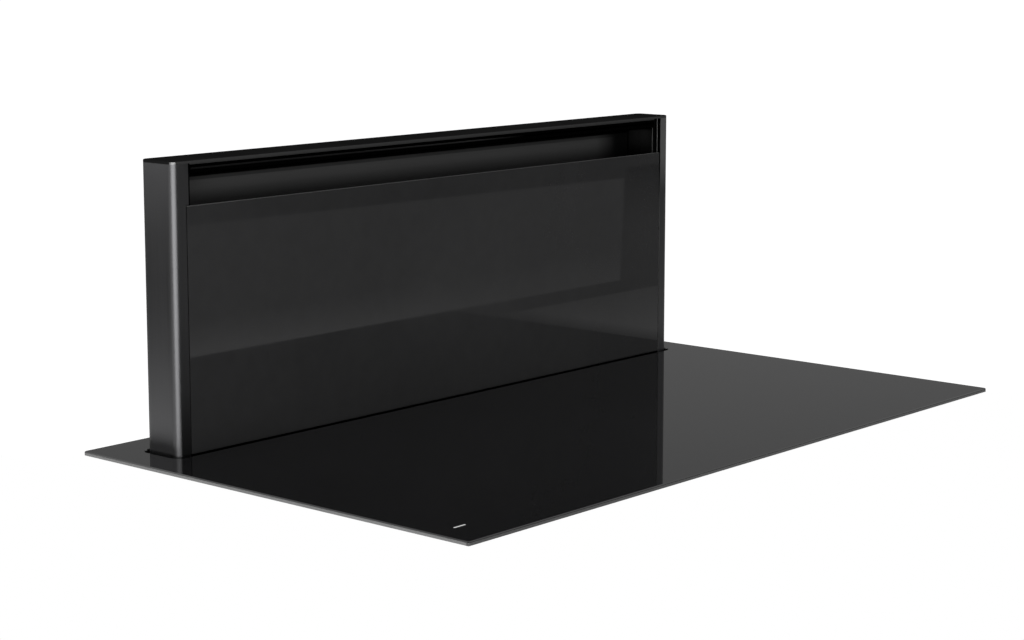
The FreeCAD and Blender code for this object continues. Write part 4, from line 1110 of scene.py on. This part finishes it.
def table_glow(nodes, place):
    """Brighter towards the hob glass, most of all on the left."""
    peak = nodes.spread(place["X"], 0.56, 0.36, 0.05, 0.6)
    return nodes.spread(place["Y"], 0.29, peak, GLOW_FRONT, GLOW_BACK)


def table_corner_glow(nodes, place):
    """Darker away from the hob glass."""
    return nodes.spread(place["X"], 0.21, 0.05, CORNER_LEFT, 2.3)


def table_end_glow(nodes, place):
    """Brighter to the right of the hob glass, most of all at the back."""
    full = nodes.spread(place["Y"], 0.33, 0.52, EDGE_BACK, 0.06)
    return nodes.spread(place["X"], 0.16, full, GLASS_HIGH.x, 0.53)


def lay_flags():
    """Flags on the worktop, which the front pane mirrors."""
    left, far, back, edge_right = -0.6, 9.0, 0.9, 1.6
    right = GLASS_HIGH.x - 4 * MM
    front = GLASS_LOW.y + 4 * MM
    light_back = GLASS_LOW.y + 2 * MM
    dark = [(left, -far), (far, -far), (far, back), (right, back), (right, front), (left, front)]
    light = [(-0.1, light_back), (0.84, light_back), (2.02, -1.18), (0.85, -1.26), (-0.1, -1.3)]
    corner = [(CORNER_LEFT, -0.695), (2.02, -1.18), (2.2, -1.32), (4.0, -1.4), (4.0, -0.3),
              (CORNER_LEFT, -0.3)]
    glow = [(-0.1, GLOW_FRONT), (1.07, GLOW_FRONT), (0.8125, GLOW_BACK), (-0.1, GLOW_BACK)]
    for name, outline, height, level, clear in (
            ("dark_table", dark, 0.2 * MM, 0.21, None),
            ("far_table", rectangle(left, far, -far, -1.1), 0.3 * MM, 0.15, None),
            ("light_table", light, 0.5 * MM, 0.285, None),
            ("table_corner", corner, 0.4 * MM, table_corner_glow, None),
            ("table_glow", glow, GLASS_HIGH.z + 0.3 * MM, table_glow, from_below),
            ("table_edge", rectangle(right, edge_right, front, EDGE_BACK), 0.4 * MM, 0.21, None),
            ("table_end", rectangle(right, edge_right, EDGE_BACK, back), 0.4 * MM, table_end_glow, None)):
        flag(name, [(*point, height) for point in outline], level, clear)


def lens_card(camera):
    """A white card on the lens that covers what lies below the hob glass, as a worktop does.

    It is a millimetre wide, too small to show in other views.
    """
    low, high = GLASS_LOW, GLASS_HIGH
    place = camera.matrix_world
    back = place.inverted()

    def on_card(point):
        seen = back @ Vector(point)
        return seen.x * CARD_REACH / -seen.z, seen.y * CARD_REACH / -seen.z

    chain = [on_card((x, y, low.z)) for x, y in ((low.x, high.y), (low.x, low.y), (high.x, low.y))]
    side, drop = 0.25 * CARD_REACH, -0.18 * CARD_REACH
    outline = [(-side, chain[0][1]), *chain, (side, chain[-1][1]), (side, drop), (-side, drop)]
    corners = [place @ Vector((x, y, -CARD_REACH)) for x, y in outline]
    card = stage_sheet("lens_card", corners, glow_material("lens_card", 1.0))
    hide_from(card, "diffuse", "glossy", "transmission", "shadow")


def softbox(name, place, target, width, height, radiance):
    light = bpy.data.lights.new(name, "AREA")
    light.shape = "RECTANGLE"
    light.size = width
    light.size_y = height
    light.energy = radiance * math.pi * width * height
    lamp = show(name, light)
    lamp.location = place
    lamp.rotation_euler = (Vector(target) - Vector(place)).to_track_quat("-Z", "Y").to_euler()
    hide_from(lamp, "camera")


def make_camera(settings):
    camera = show("camera", bpy.data.cameras.new("camera"))
    camera.data.lens = settings.lens
    camera.data.sensor_width = 36.0
    camera.data.shift_y = -settings.drop
    camera.data.clip_start = CARD_REACH / 2
    camera.data.clip_end = 200.0
    camera.location = settings.eye
    camera.rotation_euler = (math.pi / 2 - settings.pitch, 0.0, settings.heading - math.pi / 2)
    bpy.context.scene.camera = camera
    bpy.context.view_layer.update()
    return camera


def make_world():
    """A world that is white to the eye and in mirrors, and lights the part with half of that."""
    world = bpy.data.worlds.new("studio")
    nodes = emptied(world)
    level = nodes.spread(seen_rays(nodes), 0.5, 1.0)
    back = nodes.result("ShaderNodeBackground", {"Color": (1.0, 1.0, 1.0, 1.0), "Strength": level})
    nodes.add("ShaderNodeOutputWorld", {"Surface": back})
    bpy.context.scene.world = world


class HOOD_OT_studio(bpy.types.Operator):
    """Set up the floor, the lens card, the flags, the light and the camera"""
    bl_idname = "hood.studio"
    bl_label = "Studio"

    def execute(self, context):
        settings = context.scene.hood_studio
        camera = make_camera(settings)
        make_world()
        far = 60.0
        corners = [(*point, GROUND) for point in rectangle(-far, far, -far, far)]
        stage_sheet("floor", corners, floor_material(settings.floor, glow=0.65))
        lens_card(camera)
        for name, (start, end, (low, high), level) in UPRIGHT_FLAGS.items():
            flag(name, [(*start, low), (*end, low), (*end, high), (*start, high)], level)
        lay_flags()
        softbox("key", (-2.6, -2.1, 0.0), (-0.3, 0.1, 0.0), width=2.4, height=1.1, radiance=6.0)
        softbox("top", (0.3, -0.3, 3.0), (0.0, 0.0, 0.0), width=2.0, height=2.0, radiance=0.8)
        context.scene.view_settings.view_transform = "Standard"
        return {"FINISHED"}


STEPS = (HOOD_OT_finishes, HOOD_OT_screws, HOOD_OT_housing, HOOD_OT_blower, HOOD_OT_outlet,
         HOOD_OT_control_box, HOOD_OT_trim, HOOD_OT_studio)


class HOOD_PT_panel(bpy.types.Panel):
    """The steps that dress the hood"""
    bl_label = "Downdraft hood"
    bl_idname = "HOOD_PT_panel"
    bl_space_type = "VIEW_3D"
    bl_region_type = "UI"
    bl_category = "Hood"

    def draw(self, context):
        for step in STEPS:
            self.layout.operator(step.bl_idname)


SETTINGS = {"hood_colours": HoodColours, "hood_details": DetailSizes, "hood_studio": StudioSettings}
CLASSES = (*SETTINGS.values(), *STEPS, HOOD_PT_panel)


def register():
    for item in CLASSES:
        bpy.utils.register_class(item)
    for name, settings in SETTINGS.items():
        setattr(bpy.types.Scene, name, PointerProperty(type=settings))


def unregister():
    for name in SETTINGS:
        delattr(bpy.types.Scene, name)
    for item in reversed(CLASSES):
        bpy.utils.unregister_class(item)


def main():
    register()
    for step in STEPS:
        group, name = step.bl_idname.split(".")
        getattr(getattr(bpy.ops, group), name)()


if __name__ == "__main__":
    main()
